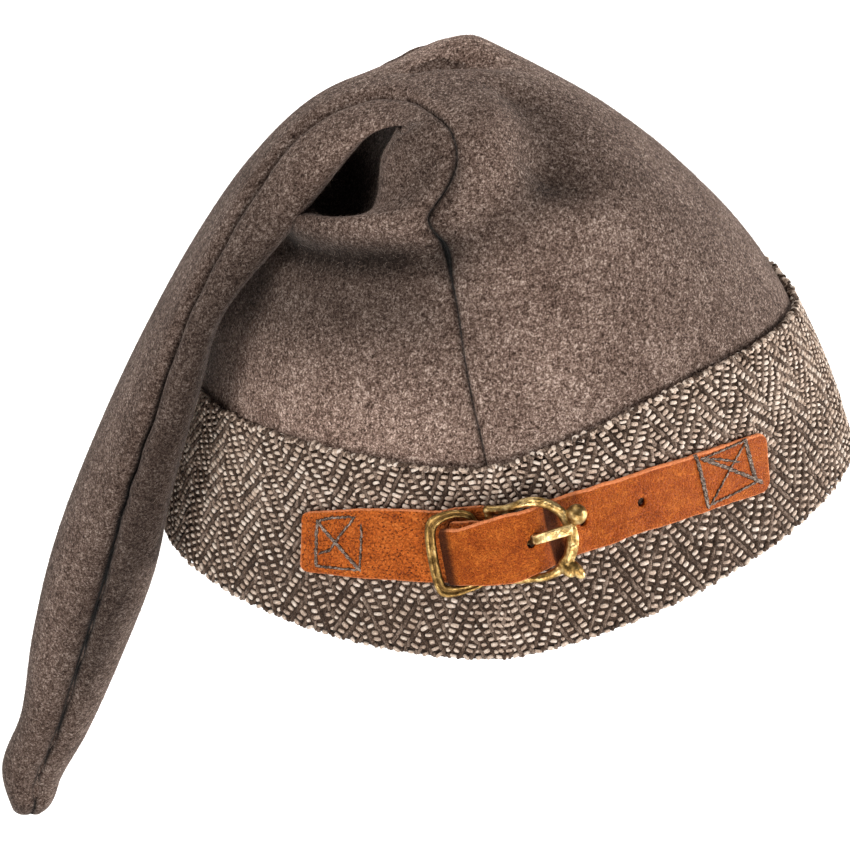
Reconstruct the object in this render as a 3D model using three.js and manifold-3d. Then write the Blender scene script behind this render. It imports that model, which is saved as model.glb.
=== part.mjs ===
// Wool cap with a long hanging tail, a herringbone tweed band, and a leather strap and brass buckle
// on its near side.
// Millimetres. Z is up, +X is the wearer's front, the tail hangs at -X and the buckle sits at -Y.
// The origin is the middle of the rim opening, where a head carries the cap.
import * as THREE from "three";
import { mergeVertices } from "three/addons/utils/BufferGeometryUtils.js";
import Module from "manifold-3d";

const wasm = await Module();
wasm.setup();

// Driving dimensions
const CROWN_WALL = 2.4;
const TAIL_WALL = 2;
const PANEL_GAP = 0.4;
const SEAM_BEVEL = 1.7;
const BAND_GAP = 0.4;
const BAND_THICK_FOOT = 3.4;
const BAND_THICK_TOP = 1.7;
const CLOTH_FOOT = 3;
const SQUARENESS_RIM = 1.55;
const SQUARENESS_TAIL = 2.15;
const TAIL_END = 421;
const TAIL_HOLLOW_END = 411;
const LEATHER_THICK = 1.6;
const LEFT_STRAP_END_WIDTH = 17;
const LEFT_STRAP_WIDTH = 20;
const LEFT_STRAP_WIDTH_AT_BAR = 15;
const LEFT_STRAP_FLAP_WIDTH = 16;
const LEFT_STRAP_END_SLANT = 3.5;
const RIGHT_STRAP_TIP_WIDTH = 15.2;
const RIGHT_STRAP_WIDTH = 17;
const PUNCHED_HOLE_RADIUS = 1.35;
const HOLE_PITCH = 18;
const BAR_RADIUS = 1.15;
const WIRE_RADIUS = 1.35;
const RING_RADIUS = 10.5;
const BALL_KNOB_RADIUS = 2.8;
const LONG_KNOB_RADIUS = 2.5;
const BUCKLE_HEIGHT = 4.1;
const KEEPER_HEIGHT = 3.75;
const TONGUE_RADIUS = 1.35;
const FIT_GAP = 0.32;
const STRAP_GAP = 0.45;
const STRAP_REST = LEATHER_THICK / 2 + STRAP_GAP;
const STRAP_LIFT = 1.15;

// One row for each cross-section, from the rim over the crown and down the tail.
// s: way along from the rim. outer, inner: the two ends of the section's long axis, across X and Z.
// midY: its middle. near, far: half depths towards -Y and +Y. seam, farSeam: where the two side
// seams lie, as shares of the way from inner to outer. turn: how far the inner edge is turned nearer.
const SECTION_COLUMNS = [
  "s", "outerX", "outerZ", "innerX", "innerZ", "midY", "near", "far", "seam", "farSeam", "turn",
];
const SECTIONS = [
  [0, 97.9, 9.4, -98.4, -13.8, 0, 93.8, 84.4, 0.5, 0.5, 0],
  [24, 90.4, 35.4, -94.8, 12.6, 0, 86.5, 78, 0.5, 0.5, 0],
  [50, 82.5, 55, -89.5, 36, 0, 78.5, 71.5, 0.485, 0.5, 0],
  [72, 71.9, 73, -83, 60, 0, 66, 62, 0.465, 0.49, 0],
  [92, 58.4, 89, -71, 84, -1, 55, 52, 0.445, 0.48, 0],
  [108, 41.9, 105.4, -61, 97, -3, 48, 45, 0.435, 0.47, 0],
  [120, 24.8, 118.7, -46, 103, -5, 43, 40, 0.385, 0.48, 0],
  [132, 2.9, 129.6, -33, 114, -5, 36, 37, 0.53, 0.5, 0],
  [146, -12.4, 130.8, -28.8, 124, -4, 29, 30.5, 0.71, 0.52, 3],
  [164, -29.5, 127.9, -35.3, 120.9, -3, 20.5, 21.5, 0.94, 0.53, 6],
  [186, -53.4, 120, -43.6, 110.6, -6, 17.5, 19, 0.97, 0.55, 8],
  [210, -72.2, 103.7, -59, 92.3, -12, 18.5, 21, 0.89, 0.56, 10],
  [236, -90.2, 77, -78.2, 70, -17, 20, 24, 0.755, 0.55, 14],
  [262, -106.3, 48, -86.9, 43, -20, 20, 20, 0.61, 0.52, 16],
  [290, -121.2, 16, -95.9, 11, -21, 17, 17, 0.527, 0.5, 12],
  [320, -132.7, -14, -102.6, -18, -20, 14.5, 15, 0.475, 0.48, 6],
  [350, -140.5, -44, -113.5, -48, -18, 12.5, 13, 0.455, 0.45, 3],
  [380, -146, -73, -126.1, -78, -17, 10.5, 11, 0.44, 0.44, 0],
  [402, -152.8, -92, -134.9, -95, -16, 8.5, 9, 0.38, 0.4, 0],
  [416, -151.4, -103, -139.2, -105.5, -16, 6.5, 7, 0.35, 0.36, 0],
  [421, -150.4, -107, -142.2, -108.4, -16, 4.5, 4.5, 0.35, 0.36, 0],
];

// Folds and dents of the cloth, each along a line from s, u to toS, toU. longS, longU: half widths
// of the line in both directions. height: out is positive.
const FOLD_COLUMNS = ["name", "s", "u", "toS", "toU", "longS", "longU", "height"];
const FOLD_ROWS = [
  ["pocket under the bend", 116, 0, 119, 0.06, 7, 0.06, -17],
  ["cushion beside the pocket", 131, 0.1, 142, 0.12, 8, 0.05, 5],
  ["lip below the pocket", 119, 0.22, 107, 0.09, 6, 0.035, 4],
  ["valley below the lip", 104, 0.22, 98, 0.09, 4.5, 0.04, -3.5],
  ["step beside the seam", 104, 0.27, 117, 0.27, 7, 0.02, -2.5],
  ["dent of the front panel, low", 114, 0.31, 121, 0.38, 9, 0.045, -3.5],
  ["dent of the front panel, high", 121, 0.39, 131, 0.47, 7, 0.03, -4],
  ["far lip of the pocket", 117, 0.92, 117, 0.92, 12, 0.055, 10.5],
  ["gutter behind the ridge", 138, 0.535, 158, 0.535, 6, 0.02, -2.5],
  ["far hump of the ridge", 142, 0.61, 144, 0.61, 7, 0.045, 2.5],
];
const FOLDS = FOLD_ROWS.map((row) => Object.fromEntries(FOLD_COLUMNS.map((name, i) => [name, row[i]])));

// Height of the band's upper edge, measured along the cloth. share: from the back (0) to the front (1).
const BAND_TOP = [
  { share: 0, top: 49 },
  { share: 0.3, top: 54 },
  { share: 0.5, top: 52 },
  { share: 0.75, top: 60 },
  { share: 1, top: 52.5 },
];

const clamp = (x, low, high) => Math.min(high, Math.max(low, x));
const smooth = (a, b, x) => THREE.MathUtils.smoothstep(x, a, b);

// Smooth curve through a table's rows, with slopes taken from the rows on both sides.
function through(keys, values, x) {
  const last = keys.length - 1;
  const slopeOf = (i) => (values[i + 1] - values[i]) / (keys[i + 1] - keys[i]);
  const tangentOf = (i) => {
    if (i === 0) return slopeOf(0);
    if (i === last) return slopeOf(last - 1);
    const before = keys[i] - keys[i - 1];
    const after = keys[i + 1] - keys[i];
    return (slopeOf(i - 1) * after + slopeOf(i) * before) / (before + after);
  };
  let i = 0;
  while (i < last - 1 && x >= keys[i + 1]) i += 1;
  const h = keys[i + 1] - keys[i];
  const t = (x - keys[i]) / h;
  const t2 = t * t;
  const t3 = t2 * t;
  return (
    (2 * t3 - 3 * t2 + 1) * values[i] +
    (t3 - 2 * t2 + t) * h * tangentOf(i) +
    (3 * t2 - 2 * t3) * values[i + 1] +
    (t3 - t2) * h * tangentOf(i + 1)
  );
}

const column = Object.fromEntries(
  SECTION_COLUMNS.map((name, i) => [name, SECTIONS.map((row) => row[i])]),
);
const sectionAt = (name, s) => through(column.s, column[name], s);

// Point on the plain shape: u runs once round, 0 inner middle, 1/4 near seam, 1/2 outer, 3/4 far seam.
// core draws the point in to the section's middle line.
function plainPoint(s, u, core = 0) {
  const turnOfU = u - Math.floor(u);
  const near = turnOfU <= 0.5;
  const half = (near ? turnOfU : 1 - turnOfU) / 0.5;
  const roundness = 2 / THREE.MathUtils.lerp(SQUARENESS_RIM, SQUARENESS_TAIL, smooth(10, 120, s));
  const seamAngle = Math.acos(1 - 2 * sectionAt(near ? "seam" : "farSeam", s));
  const beyond = Math.max(0, half - 0.5);
  const angle = 2 * (seamAngle * (half - beyond) + (Math.PI - seamAngle) * beyond);
  const along = Math.sign(Math.cos(angle)) * Math.abs(Math.cos(angle)) ** roundness;
  const across = Math.abs(Math.sin(angle)) ** roundness;
  const share = 0.5 - 0.5 * along * (1 - core);
  const depth = near ? -sectionAt("near", s) : sectionAt("far", s);
  return new THREE.Vector3(
    THREE.MathUtils.lerp(sectionAt("innerX", s), sectionAt("outerX", s), share),
    sectionAt("midY", s) + depth * across * (1 - 0.25 * core) + sectionAt("turn", s) * (share - 0.5),
    THREE.MathUtils.lerp(sectionAt("innerZ", s), sectionAt("outerZ", s), share),
  );
}

function outwardNormal(pointAt, s, u) {
  const ds = 0.8;
  const du = 0.004;
  const low = Math.max(0, s - ds);
  const high = Math.min(TAIL_END, s + ds);
  const alongS = pointAt(high, u).sub(pointAt(low, u));
  const alongU = pointAt(s, u + du).sub(pointAt(s, u - du));
  return alongU.cross(alongS).normalize();
}

// Height of all folds at a point. Each fold's height fades with the distance to its line.
function foldHeight(s, u) {
  let height = 0;
  for (const fold of FOLDS) {
    const turns = Math.round(u - (fold.u + fold.toU) / 2);
    const away = new THREE.Vector2((s - fold.s) / fold.longS, (u - turns - fold.u) / fold.longU);
    const run = new THREE.Vector2((fold.toS - fold.s) / fold.longS, (fold.toU - fold.u) / fold.longU);
    const share = clamp(away.dot(run) / Math.max(run.lengthSq(), 1e-9), 0, 1);
    height += fold.height * Math.exp(-away.addScaledVector(run, -share).lengthSq());
  }
  return height;
}

// Outer face of the cloth, with its folds.
function clothPoint(s, u) {
  const height = foldHeight(s, u);
  const point = plainPoint(s, u);
  if (Math.abs(height) > 0.01) {
    point.addScaledVector(outwardNormal(plainPoint, s, u), height);
  }
  return point;
}

// Inner face of the cloth. The flat tail is drawn in to its middle line, the crown along its normal.
function liningPoint(s, u) {
  const outside = clothPoint(s, u);
  const drawnIn = plainPoint(s, u, 1).sub(outside).setLength(TAIL_WALL).add(outside);
  const set = outside.addScaledVector(outwardNormal(clothPoint, s, u), -CROWN_WALL);
  return set.lerp(drawnIn, smooth(122, 142, s));
}

// Outer face of the band, lift above it, and the frame of axes there.
function bandTopAt(u) {
  const turnOfU = u - Math.floor(u);
  const share = 2 * Math.min(turnOfU, 1 - turnOfU);
  return through(BAND_TOP.map((row) => row.share), BAND_TOP.map((row) => row.top), share);
}
function bandThickness(s) {
  return THREE.MathUtils.lerp(BAND_THICK_FOOT, BAND_THICK_TOP, smooth(0, 50, s));
}
function onBand(s, u, lift = 0) {
  const normal = outwardNormal(clothPoint, s, u);
  const height = BAND_GAP + bandThickness(s) + lift;
  return { at: clothPoint(s, u).addScaledVector(normal, height), normal };
}

// Closed solids from grids of points
function solidMesh(positions, triangles) {
  const geometry = new THREE.BufferGeometry();
  const numbers = positions.flatMap((point) => point.toArray());
  geometry.setAttribute("position", new THREE.Float32BufferAttribute(numbers, 3));
  let volume = 0;
  for (const [a, b, c] of triangles) {
    volume += positions[a].dot(positions[b].clone().cross(positions[c]));
  }
  geometry.setIndex(triangles.flatMap(([a, b, c]) => (volume > 0 ? [a, b, c] : [a, c, b])));
  return geometry;
}

// Two facing grids of the same size, joined along their four edges.
function slab(frontGrid, backGrid) {
  const rows = frontGrid.length;
  const columns = frontGrid[0].length;
  const positions = [...frontGrid.flat(), ...backGrid.flat()];
  const back = rows * columns;
  const triangles = [];
  const quad = (a, b, c, d) => triangles.push([a, b, c], [a, c, d]);
  for (let i = 0; i < rows - 1; i += 1) {
    for (let j = 0; j < columns - 1; j += 1) {
      const a = i * columns + j;
      quad(a, a + 1, a + columns + 1, a + columns);
      quad(back + a + columns, back + a + columns + 1, back + a + 1, back + a);
    }
  }
  for (let j = 0; j < columns - 1; j += 1) {
    const top = (rows - 1) * columns + j;
    quad(j + 1, j, back + j, back + j + 1);
    quad(top, top + 1, back + top + 1, back + top);
  }
  for (let i = 0; i < rows - 1; i += 1) {
    const left = i * columns;
    const right = left + columns - 1;
    quad(left, left + columns, back + left + columns, back + left);
    quad(right + columns, right, back + right, back + right + columns);
  }
  return solidMesh(positions, triangles);
}

// A closed loop of points carried round a closed way.
function hoop(loops) {
  const columns = loops[0].length;
  const positions = loops.flat();
  const triangles = [];
  loops.forEach((loop, i) => {
    const next = ((i + 1) % loops.length) * columns;
    for (let j = 0; j < columns; j += 1) {
      const k = (j + 1) % columns;
      triangles.push([i * columns + j, next + j, next + k]);
      triangles.push([i * columns + j, next + k, i * columns + k]);
    }
  });
  return solidMesh(positions, triangles);
}

// Joining and cutting
function toSolid(geometry) {
  const bare = geometry.clone();
  bare.deleteAttribute("normal");
  bare.deleteAttribute("uv");
  const merged = mergeVertices(bare, 1e-4);
  return new wasm.Manifold(
    new wasm.Mesh({
      numProp: 3,
      vertProperties: merged.attributes.position.array,
      triVerts: new Uint32Array(merged.index.array),
    }),
  );
}
function toGeometry(solid) {
  const mesh = solid.getMesh();
  const geometry = new THREE.BufferGeometry();
  geometry.setAttribute("position", new THREE.BufferAttribute(mesh.vertProperties, 3));
  geometry.setIndex(new THREE.BufferAttribute(mesh.triVerts, 1));
  return geometry;
}

const spread = (from, to, count) =>
  Array.from({ length: count + 1 }, (_, i) => THREE.MathUtils.lerp(from, to, i / count));

// Crown and tail cloth
const STATIONS = [
  ...spread(CLOTH_FOOT, 94, 5),
  ...spread(101, 213, 16),
  ...spread(230, 402, 9),
  ...spread(410, TAIL_END, 2),
];

function clothPanel(fromU, toU, columns) {
  const ring = (s, pointAt, bevel) => {
    const startStep = plainPoint(s, fromU).distanceTo(plainPoint(s, fromU + 0.001)) / 0.001;
    const endStep = plainPoint(s, toU).distanceTo(plainPoint(s, toU - 0.001)) / 0.001;
    const margin = PANEL_GAP / 2 + bevel;
    const first = fromU + margin / startStep;
    const last = toU - margin / endStep;
    return spread(first, last, columns).map((u) => pointAt(s, u));
  };
  // The last ring closes on the straight line between its own two ends.
  const closing = (points) => {
    const start = points[0];
    const end = points[points.length - 1];
    return points.map((p, i) => start.clone().lerp(end, i / (points.length - 1)));
  };
  const outer = STATIONS.map((s) => ring(s, clothPoint, 0));
  const hollow = TAIL_HOLLOW_END / TAIL_END;
  const inner = STATIONS.map((s) => ring(CLOTH_FOOT + (s - CLOTH_FOOT) * hollow, liningPoint, SEAM_BEVEL));
  outer.push(closing(outer[outer.length - 1]));
  inner.push(closing(inner[inner.length - 1]));
  return slab(outer, inner);
}

const BACK_COLUMNS = 20;
const FRONT_COLUMNS = 14;
const backPanel = clothPanel(-0.25, 0.25, BACK_COLUMNS);
const frontPanel = clothPanel(0.25, 0.75, FRONT_COLUMNS);

// Band
const BAND_COLUMNS = 64;
const BAND_ROWS = 4;
const bandLoops = spread(0, 1, BAND_COLUMNS)
  .slice(0, BAND_COLUMNS)
  .map((u) => {
    const heights = spread(0, bandTopAt(u), BAND_ROWS);
    const outside = heights.map((s) => onBand(s, u).at);
    const inside = heights.map((s) => onBand(s, u, -bandThickness(s)).at).reverse();
    return [...outside, ...inside];
  });
const band = hoop(bandLoops);

// Buckle's middle bar, in the buckle's axes
const BAR_A = -1.8;
const BAR_TOP_B = 10.6;
const BAR_FOOT_B = -8.6;

// Buckle's frame of axes: a along the strap towards the front, b up, h out from the band
const buckleFoot = onBand(29.5, 0.255).at;
const ALONG = new THREE.Vector3(0.984, 0, 0.177);
const OUT = new THREE.Vector3(-0.052, -0.956, 0.29);
OUT.projectOnPlane(ALONG).normalize();
const ACROSS = OUT.clone().cross(ALONG).normalize();
ALONG.copy(ACROSS).cross(OUT).normalize();
const buckleAxes = new THREE.Matrix4().makeBasis(ALONG, ACROSS, OUT).setPosition(buckleFoot);
const inBuckle = (a, b, h) => new THREE.Vector3(a, b, h).applyMatrix4(buckleAxes);
const heightOverBuckleFoot = (point) => point.clone().sub(buckleFoot).dot(OUT);

// Straps
// Rows of a strap's way: band rows hold s, u and the lift above the band, buckle rows hold a, b and h.
function strapWay(rows) {
  const points = rows.map((row) =>
    row.on === "band" ? onBand(row.s, row.u, row.lift) : { at: inBuckle(row.a, row.b, row.h) },
  );
  const sides = points.map((point, i) => {
    if (!point.normal) return ACROSS.clone();
    const before = points[Math.max(0, i - 1)].at;
    const after = points[Math.min(points.length - 1, i + 1)].at;
    return point.normal.clone().cross(after.clone().sub(before)).normalize();
  });
  const centre = new THREE.CatmullRomCurve3(points.map((point) => point.at), false, "centripetal");
  centre.arcLengthDivisions = 2000;
  const side = new THREE.CatmullRomCurve3(sides, false, "centripetal");
  const length = centre.getLength();
  return {
    length,
    frame(way) {
      const t = centre.getUtoTmapping(clamp(way / length, 0, 1));
      const forward = centre.getTangent(t);
      const width = side.getPoint(clamp(t, 0, 1));
      width.addScaledVector(forward, -width.dot(forward)).normalize();
      const normal = forward.clone().cross(width);
      return { at: centre.getPoint(t), forward, width, normal };
    },
  };
}

// Samples of the band's near face, against which the straps lie.
const sampleHeights = spread(6, 46, 12);
const samplePlaces = spread(0.11, 0.43, 64);
const bandSamples = sampleHeights.flatMap((s) => samplePlaces.map((u) => onBand(s, u)));
function clearOfBand(point, need) {
  let nearest = bandSamples[0];
  for (const sample of bandSamples) {
    if (sample.at.distanceToSquared(point) < nearest.at.distanceToSquared(point)) nearest = sample;
  }
  const height = point.clone().sub(nearest.at).dot(nearest.normal);
  return point.addScaledVector(nearest.normal, Math.max(0, need - height));
}

// A strip of leather along a way. Both by way and share across, dip is a further height out of the
// band, and skew a step further along the way.
function strapSolid(way, stations, halfWidthAt, acrossCount, { dip = () => 0, skew = () => 0 }) {
  const middle = stations.map((distance) =>
    spread(-1, 1, acrossCount).map((share) => {
      const frame = way.frame(distance + skew(distance, share));
      const point = frame.at
        .clone()
        .addScaledVector(frame.width, share * halfWidthAt(distance))
        .addScaledVector(OUT, dip(distance, share));
      return { at: clearOfBand(point, STRAP_REST), normal: frame.normal };
    }),
  );
  const half = LEATHER_THICK / 2;
  const moved = ({ at, normal }, side) => at.clone().addScaledVector(normal, side * half);
  const face = (side) => middle.map((row) => row.map((point) => moved(point, side)));
  return slab(face(1), face(-1));
}

// The strap turns round the bar on this radius, measured to the leather's middle.
const STRAP_TURN = 2.3;
const TURN_SLANT = STRAP_TURN * Math.SQRT1_2;
const LEFT_WAY_ROWS = [
  { on: "band", s: 22.9, u: 0.139, lift: STRAP_LIFT },
  { on: "band", s: 24.6, u: 0.15, lift: STRAP_LIFT },
  { on: "band", s: 26, u: 0.162, lift: STRAP_LIFT },
  { on: "band", s: 28.2, u: 0.183, lift: STRAP_LIFT },
  { on: "band", s: 29, u: 0.2, lift: STRAP_LIFT },
  { on: "band", s: 29.2, u: 0.214, lift: STRAP_LIFT },
  { on: "buckle", a: -9, b: 1.2, h: 0.75 },
  { on: "buckle", a: -5.2, b: 1.1, h: 1.35 },
  { on: "buckle", a: BAR_A, b: 1, h: BUCKLE_HEIGHT - STRAP_TURN },
  { on: "buckle", a: BAR_A + TURN_SLANT, b: 1, h: BUCKLE_HEIGHT - TURN_SLANT },
  { on: "buckle", a: BAR_A + STRAP_TURN, b: 1, h: BUCKLE_HEIGHT },
  { on: "buckle", a: BAR_A + TURN_SLANT, b: 1, h: BUCKLE_HEIGHT + TURN_SLANT },
  { on: "buckle", a: BAR_A, b: 1, h: BUCKLE_HEIGHT + STRAP_TURN },
  { on: "buckle", a: -4.6, b: 0.95, h: 6.25 },
  { on: "buckle", a: -8, b: 0.9, h: 5.85 },
  { on: "buckle", a: -10.3, b: 0.85, h: 4.4 },
  { on: "buckle", a: -12.4, b: 0.8, h: 2.9 },
];
const leftWay = strapWay(LEFT_WAY_ROWS);
const wayTo = (way, point) => {
  let best = 0;
  for (const distance of spread(0, way.length, 600)) {
    if (way.frame(distance).at.distanceTo(point) < way.frame(best).at.distanceTo(point)) best = distance;
  }
  return best;
};
const leftNeck = wayTo(leftWay, inBuckle(-4.5, 1.1, 1.4));
const leftFlap = wayTo(leftWay, inBuckle(-4.6, 0.95, 6.25));
const LEFT_TAPER = 28;
function leftHalfWidth(distance) {
  const long = THREE.MathUtils.lerp(LEFT_STRAP_END_WIDTH, LEFT_STRAP_WIDTH, smooth(0, LEFT_TAPER, distance));
  const neck = smooth(leftNeck - 4, leftNeck, distance);
  const flap = smooth(leftFlap - 1, leftFlap + 2, distance);
  const inside = THREE.MathUtils.lerp(LEFT_STRAP_WIDTH_AT_BAR, LEFT_STRAP_FLAP_WIDTH, flap);
  return THREE.MathUtils.lerp(long, inside, neck) / 2;
}
const LEFT_SLANT_REACH = 14;
const leftSlant = (distance, share) =>
  LEFT_STRAP_END_SLANT * (0.5 + 0.5 * share) * (1 - smooth(0, LEFT_SLANT_REACH, distance));
const leftStrip = strapSolid(
  leftWay,
  [...spread(0, leftNeck - 4, 8), ...spread(leftNeck - 2, leftWay.length, 19)],
  leftHalfWidth,
  2,
  { skew: leftSlant },
);

const RIGHT_WAY_ROWS = [
  { on: "buckle", a: -15.6, b: -0.6, h: 2.9 },
  { on: "buckle", a: -12.6, b: -0.55, h: 5.4 },
  { on: "buckle", a: -9.6, b: -0.45, h: 7.3 },
  { on: "buckle", a: -6.5, b: -0.3, h: 8.3 },
  { on: "buckle", a: -1.8, b: 0, h: 8.55 },
  { on: "buckle", a: 3, b: 0.2, h: 7.9 },
  { on: "buckle", a: 7, b: 0.35, h: 6.8 },
  { on: "buckle", a: 10.4, b: 0.45, h: 5.7 },
  { on: "buckle", a: 12.5, b: 0.6, h: 4.3 },
  { on: "buckle", a: 13.6, b: 0.75, h: 2.1 },
  { on: "buckle", a: 14.6, b: 0.9, h: 0.3 },
  { on: "buckle", a: 16.4, b: 1.1, h: -1.1 },
  { on: "buckle", a: 19.2, b: 1.5, h: -2.6 },
  { on: "band", s: 31.2, u: 0.307, lift: 1.3 },
  { on: "band", s: 30.9, u: 0.332, lift: STRAP_LIFT },
  { on: "band", s: 29.2, u: 0.352, lift: STRAP_LIFT },
  { on: "band", s: 26.7, u: 0.374, lift: STRAP_LIFT },
  { on: "band", s: 24, u: 0.391, lift: STRAP_LIFT },
  { on: "band", s: 22.5, u: 0.4005, lift: STRAP_LIFT },
];
const rightWay = strapWay(RIGHT_WAY_ROWS);
const BEND_LEAD = 3.4;
const BEND_LEAN = 1.2;
const bendWay = wayTo(rightWay, inBuckle(12.9, 0.65, 3.6));
// The ring holds the strap's edges down sooner than its middle, and the lower edge soonest.
const ringHold = (distance, share) => {
  const before = smooth(bendWay - 14, bendWay - 5, distance);
  const after = smooth(bendWay + 3, bendWay + 9, distance);
  const lead = BEND_LEAD * share * share - BEND_LEAN * share;
  const ahead = rightWay.frame(distance + lead * (before - after)).at;
  return heightOverBuckleFoot(ahead) - heightOverBuckleFoot(rightWay.frame(distance).at);
};
const RIGHT_TAPER = 22;
const rightHalfWidth = (distance) =>
  THREE.MathUtils.lerp(RIGHT_STRAP_TIP_WIDTH, RIGHT_STRAP_WIDTH, smooth(0, RIGHT_TAPER, distance)) / 2;
const rightStrip = strapSolid(
  rightWay,
  [
    ...spread(0, bendWay - 6, 10),
    ...spread(bendWay - 4.4, bendWay + 8, 7),
    ...spread(bendWay + 12, rightWay.length, 8),
  ],
  rightHalfWidth,
  4,
  { dip: ringHold },
);

// Tongue: a loop round the bar and a pin that comes up through the strap
const TONGUE_ROWS = [
  { a: 0.2, b: 0.7, h: 4.1 },
  { a: 5.4, b: 0.95, h: 3.75 },
  { a: 8.2, b: 1.1, h: 4.6 },
  { a: 10, b: 1.25, h: 6.7 },
  { a: 12.2, b: 1.45, h: 7.75 },
  { a: 16, b: 1.8, h: 8 },
  { a: 20, b: 2.2, h: 8 },
];
function roundTube(curve, steps, radius, sides) {
  const section = new THREE.Shape(
    spread(0, 1, sides)
      .slice(0, sides)
      .map((share) => new THREE.Vector2(
        radius * Math.cos(2 * Math.PI * share),
        radius * Math.sin(2 * Math.PI * share),
      )),
  );
  return new THREE.ExtrudeGeometry(section, { steps, extrudePath: curve, bevelEnabled: false });
}
function ballAt(x, y, z, radius, stretch = [1, 1, 1], turn = 0) {
  const ball = new THREE.SphereGeometry(radius, 12, 8);
  ball.scale(...stretch);
  ball.rotateZ(turn);
  ball.translate(x, y, z);
  return ball;
}
const tongueCurve = new THREE.CatmullRomCurve3(
  TONGUE_ROWS.map((row) => new THREE.Vector3(row.a, row.b, row.h)),
  false,
  "centripetal",
);
const tongueTip = TONGUE_ROWS[TONGUE_ROWS.length - 1];
const tonguePin = (extra) => toSolid(roundTube(tongueCurve, 14, TONGUE_RADIUS + extra, 8));
const EYE_B = 0.7;
function eyeRound(innerRadius, outerRadius, width) {
  const outline = new THREE.Shape().absarc(0, 0, outerRadius, 0, 2 * Math.PI, false);
  if (innerRadius > 0) {
    outline.holes.push(new THREE.Path().absarc(0, 0, innerRadius, 0, 2 * Math.PI, true));
  }
  const eye = new THREE.ExtrudeGeometry(outline, { depth: width, bevelEnabled: false, curveSegments: 8 });
  eye.translate(0, 0, -width / 2);
  eye.rotateX(Math.PI / 2);
  eye.translate(BAR_A, EYE_B, BUCKLE_HEIGHT);
  return toSolid(eye);
}
const EYE_WIDTH = 2.6;
const EYE_INNER = BAR_RADIUS + FIT_GAP;
const EYE_OUTER = EYE_INNER + 1;
const tongue = tonguePin(0)
  .subtract(eyeRound(0, EYE_INNER, 2 * EYE_WIDTH))
  .add(eyeRound(EYE_INNER, EYE_OUTER, EYE_WIDTH))
  .add(toSolid(ballAt(tongueTip.a, tongueTip.b, tongueTip.h, TONGUE_RADIUS * 1.02)));

// Keeper: a closed wire loop, whose hidden bar lies in the left strap's fold
const KEEPER_BAR_A = -5.7;
const KEEPER_BAR_B = 7;
const KEEPER_BAR_RADIUS = 1.05;
const KEEPER_ROWS = [
  { a: KEEPER_BAR_A, b: KEEPER_BAR_B },
  { a: -6.9, b: 9.5 },
  { a: -9.7, b: 10.6 },
  { a: -14.2, b: 10.2 },
  { a: -17.2, b: 8.7 },
  { a: -18.4, b: 5.8 },
  { a: -18.4, b: -6.4 },
  { a: -17.4, b: -9 },
  { a: -14.6, b: -10.1 },
  { a: -10, b: -9.9 },
  { a: -7, b: -9 },
  { a: KEEPER_BAR_A, b: -KEEPER_BAR_B },
];
const keeperCurve = new THREE.CatmullRomCurve3(
  KEEPER_ROWS.map((row) => new THREE.Vector3(row.a, row.b, KEEPER_HEIGHT)),
  false,
  "centripetal",
);
const keeperBar = new THREE.CylinderGeometry(KEEPER_BAR_RADIUS, KEEPER_BAR_RADIUS, 2 * KEEPER_BAR_B, 8);
keeperBar.translate(KEEPER_BAR_A, 0, KEEPER_HEIGHT);
const joined = (pieces) => pieces.map(toSolid).reduce((all, next) => all.add(next));
const keeper = joined([
  roundTube(keeperCurve, 28, KEEPER_BAR_RADIUS, 8),
  keeperBar,
  ballAt(KEEPER_BAR_A, KEEPER_BAR_B, KEEPER_HEIGHT, KEEPER_BAR_RADIUS * 1.06),
  ballAt(KEEPER_BAR_A, -KEEPER_BAR_B, KEEPER_HEIGHT, KEEPER_BAR_RADIUS * 1.06),
]);

// Buckle frame: middle bar, round ring and two knobs in one casting
const RING_CENTRE = { a: 9, b: 0.4 };
const ringAngle = (degrees, radius = RING_RADIUS) => {
  const angle = THREE.MathUtils.degToRad(degrees);
  return new THREE.Vector3(
    RING_CENTRE.a + radius * Math.cos(angle),
    RING_CENTRE.b + radius * Math.sin(angle),
    BUCKLE_HEIGHT,
  );
};
const flat = (row) => new THREE.Vector3(row.a, row.b, BUCKLE_HEIGHT);
const ringCurve = new THREE.CatmullRomCurve3(
  [
    flat({ a: BAR_A, b: BAR_TOP_B }),
    flat({ a: 2.6, b: 10.1 }),
    ...spread(100, -100, 12).map((degrees) => ringAngle(degrees)),
    flat({ a: 2.4, b: -9.6 }),
    flat({ a: BAR_A, b: BAR_FOOT_B }),
  ],
  false,
  "centripetal",
);
const rightBarCurve = new THREE.CatmullRomCurve3(
  spread(34, -58, 6).map((degrees) => ringAngle(degrees, RING_RADIUS + 0.2)),
);
const middleBar = new THREE.CylinderGeometry(BAR_RADIUS, BAR_RADIUS, BAR_TOP_B - BAR_FOOT_B, 8);
middleBar.translate(BAR_A, (BAR_TOP_B + BAR_FOOT_B) / 2, BUCKLE_HEIGHT);
const knobUp = ringAngle(23, RING_RADIUS + 3.3);
const knobDown = ringAngle(-48, RING_RADIUS + 2.9);
const lobeTurn = THREE.MathUtils.degToRad(-58);
const LONG_KNOB_STRETCH = [1.35, 0.95, 1];
const frameSolid = joined([
  roundTube(ringCurve, 26, WIRE_RADIUS, 8),
  roundTube(rightBarCurve, 8, WIRE_RADIUS * 1.5, 8),
  middleBar,
  ballAt(BAR_A, BAR_TOP_B, BUCKLE_HEIGHT, WIRE_RADIUS * 1.08),
  ballAt(BAR_A, BAR_FOOT_B, BUCKLE_HEIGHT, WIRE_RADIUS * 1.08),
  ballAt(knobUp.x, knobUp.y, BUCKLE_HEIGHT + 0.3, BALL_KNOB_RADIUS),
  ballAt(knobDown.x, knobDown.y, BUCKLE_HEIGHT + 0.2, LONG_KNOB_RADIUS, LONG_KNOB_STRETCH, lobeTurn),
]);

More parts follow.
